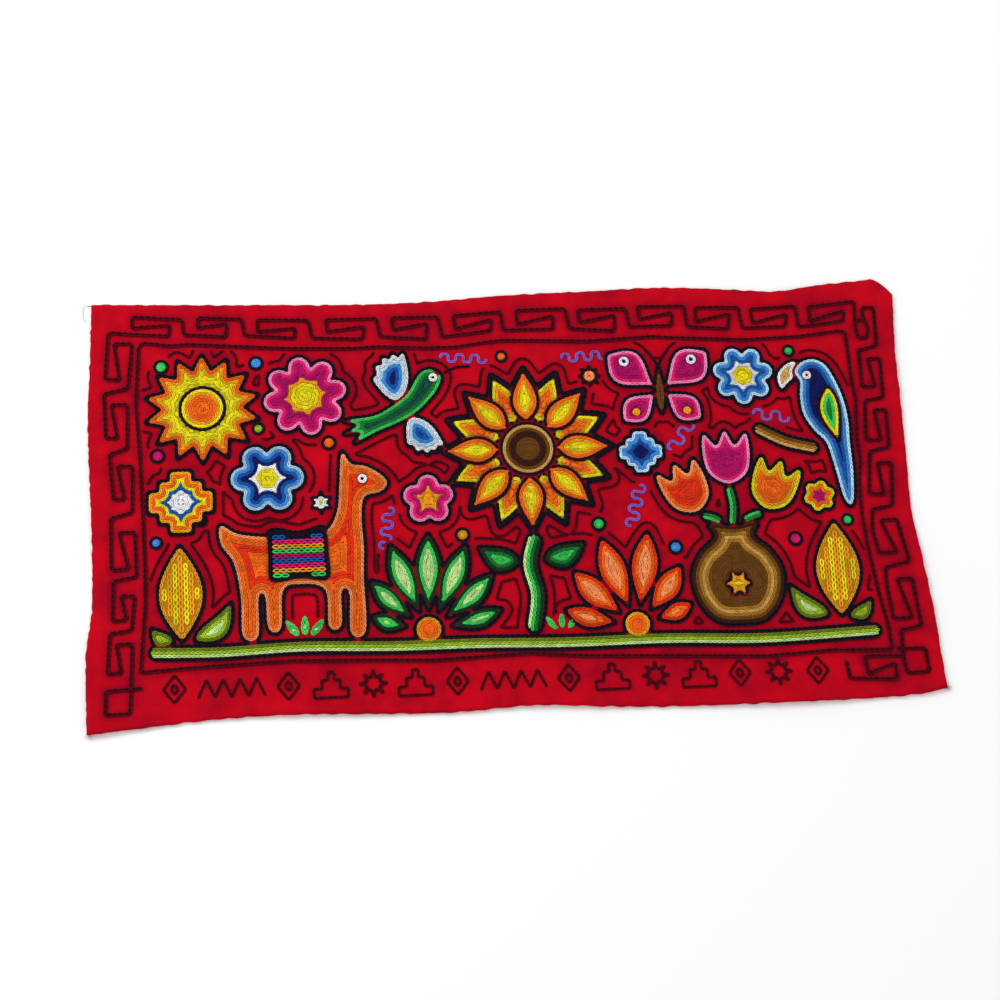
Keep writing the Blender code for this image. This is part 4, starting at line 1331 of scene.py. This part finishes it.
class WALLCLOTH_OT_plants(bpy.types.Operator):
    """Stitch the leaves, stems, maize and the ground"""
    bl_idname = "wallcloth.plants"
    bl_label = "Plants"

    def execute(self, context):
        stitch_group("plants")
        return {"FINISHED"}


class WALLCLOTH_OT_signs(bpy.types.Operator):
    """Stitch the jug and the stepped crosses"""
    bl_idname = "wallcloth.signs"
    bl_label = "Jug and crosses"

    def execute(self, context):
        stitch_group("signs")
        return {"FINISHED"}


class WALLCLOTH_OT_outlines(bpy.types.Operator):
    """Stitch a dark row round all the figures and thinner rows that follow them further out"""
    bl_idname = "wallcloth.outlines"
    bl_label = "Outer outlines"

    def execute(self, context):
        outlines = figure_outlines()
        stitching = Stitching(seed=3)
        for line in DepthMap(outlines, 6).level_lines(-0.5 * stitching.pitch):
            line = line_steps(line, closed=True)
            if len(line) > 3 * stitching.length:
                stitching.single_row(line, "black", OUTLINE_ROW_WIDTH, closed=True)
        stitched_piece("outer_outline_stitches", stitching)
        stitching = Stitching(seed=4)
        small = [area.outline for area in small_areas()]
        small += [round_ended(squiggle(*line), 3.0) for line in SQUIGGLES]
        inner_frame = np.array(FRAME_LINE, float)
        for line in DepthMap(outlines, 16).level_lines(-3.0 * stitching.pitch):
            line = line_steps(line, closed=True)
            keep = clear_of(line, small, room=3.5) & (depth_inside(line, inner_frame) > 5)
            for run in runs_where(line, keep):
                if len(run) > 4 * stitching.length:
                    stitching.single_row(run, "maroon")
        stitched_piece("echo_row_stitches", stitching)
        return {"FINISHED"}


class WALLCLOTH_OT_squiggles(bpy.types.Operator):
    """Stitch the lilac squiggles, the stars and the dots between the figures"""
    bl_idname = "wallcloth.squiggles"
    bl_label = "Squiggles, stars and dots"

    def execute(self, context):
        stitching = Stitching(seed=7)
        figures = figure_outlines()
        for line in SQUIGGLES:
            line = line_steps(squiggle(*line), step=0.7)
            for run in runs_where(line, clear_of(line, figures, room=5.0)):
                stitching.single_row(run, "lilac")
        for area in small_areas():
            stitching.area(area, figures)
        stitched_piece("squiggle_and_dot_stitches", stitching)
        return {"FINISHED"}


class WALLCLOTH_OT_border(bpy.types.Operator):
    """Stitch the frame line, the running fret and the row of signs"""
    bl_idname = "wallcloth.border"
    bl_label = "Border"

    def execute(self, context):
        stitching = Stitching(seed=5)
        stitching.single_row(line_steps(FRAME_LINE, closed=True), "maroon", BORDER_ROW_WIDTH, closed=True)
        for fret in FRETS:
            stitching.single_row(line_steps(fret), "maroon", BORDER_ROW_WIDTH)
        border = stitched_piece("border_stitches", stitching)
        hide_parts(*BORDER_NODES)
        stitching = Stitching(seed=6)
        for kind, x in SIGN_ROW:
            y = -186 - 11 * (x + 360) / 660
            closed = kind != "teeth"
            for points in SIGNS[kind]:
                stitching.single_row(line_steps(placed(points, x, y), closed), "maroon", closed=closed)
        stitched_piece("sign_row_stitches", stitching)
        return {"FINISHED"}


class WALLCLOTH_OT_stage(bpy.types.Operator):
    """Lay the plain floor and set the light and the camera"""
    bl_idname = "wallcloth.stage"
    bl_label = "Stage"

    def execute(self, context):
        scene = context.scene
        sizes = scene.wall_cloth_stage
        scene.view_settings.view_transform = "Standard"
        shape = bmesh.new()
        bmesh.ops.create_grid(shape, x_segments=2, y_segments=2, size=FLOOR_REACH)
        bmesh.ops.translate(shape, verts=shape.verts, vec=(0, 0, -FLOOR_DROP))
        mesh = bpy.data.meshes.new("floor")
        shape.to_mesh(mesh)
        shape.free()
        floor = bpy.data.objects.new("floor", mesh)
        paint = Nodes("floor_paint")
        paint.shader.inputs["Base Color"].default_value = (*sizes.floor_colour, 1)
        paint.shader.inputs["Roughness"].default_value = 0.9
        mesh.materials.append(paint.material)
        scene.collection.objects.link(floor)
        world = bpy.data.worlds.new("studio")
        world.use_nodes = True
        world.node_tree.nodes["Background"].inputs["Color"].default_value = (1, 1, 1, 1)
        world.node_tree.nodes["Background"].inputs["Strength"].default_value = sizes.sky_strength
        scene.world = world
        self.area_light("key", KEY_PLACE, KEY_SIZE, sizes.key_power)
        camera = bpy.data.cameras.new("camera")
        camera.lens = sizes.lens
        camera.sensor_width = 36.0
        view = bpy.data.objects.new("camera", camera)
        turn = Matrix((CAMERA_RIGHT, CAMERA_UP, CAMERA_BACK)).transposed()
        view.matrix_world = Matrix.Translation(CAMERA_PLACE) @ turn.to_4x4()
        scene.collection.objects.link(view)
        scene.camera = view
        return {"FINISHED"}

    def area_light(self, name, place, size, power):
        """A round soft light that faces the middle of the cloth."""
        light = bpy.data.lights.new(name, "AREA")
        light.shape = "DISK"
        light.size = size
        light.energy = power
        lamp = bpy.data.objects.new(name, light)
        lamp.location = place
        lamp.rotation_mode = "QUATERNION"
        lamp.rotation_quaternion = (-Vector(place)).to_track_quat("-Z", "Y")
        bpy.context.scene.collection.objects.link(lamp)


OPERATORS = [WALLCLOTH_OT_ground, WALLCLOTH_OT_fuzz, WALLCLOTH_OT_animals, WALLCLOTH_OT_flowers,
             WALLCLOTH_OT_plants, WALLCLOTH_OT_signs, WALLCLOTH_OT_outlines, WALLCLOTH_OT_squiggles,
             WALLCLOTH_OT_border, WALLCLOTH_OT_stage]


SETTINGS = {"wall_cloth": ClothSettings, "wall_cloth_stitches": StitchSettings,
            "wall_cloth_stage": StageSettings}


class WALLCLOTH_PT_panel(bpy.types.Panel):
    """The steps in the sidebar"""
    bl_label = "Wall cloth"
    bl_idname = "WALLCLOTH_PT_panel"
    bl_space_type = "VIEW_3D"
    bl_region_type = "UI"
    bl_category = "Wall cloth"

    def draw(self, context):
        for operator in OPERATORS:
            self.layout.operator(operator.bl_idname)
        for name in SETTINGS:
            settings = getattr(context.scene, name)
            for key in settings.__annotations__:
                self.layout.prop(settings, key)


CLASSES = [*SETTINGS.values(), *OPERATORS, WALLCLOTH_PT_panel]


def register():
    for item in CLASSES:
        bpy.utils.register_class(item)
    for name, settings in SETTINGS.items():
        setattr(bpy.types.Scene, name, PointerProperty(type=settings))


def unregister():
    for name in SETTINGS:
        delattr(bpy.types.Scene, name)
    for item in reversed(CLASSES):
        bpy.utils.unregister_class(item)


def main():
    register()
    for operator in OPERATORS:
        step = operator.bl_idname.partition(".")[2]
        getattr(bpy.ops.wallcloth, step)()


if __name__ == "__main__":
    main()
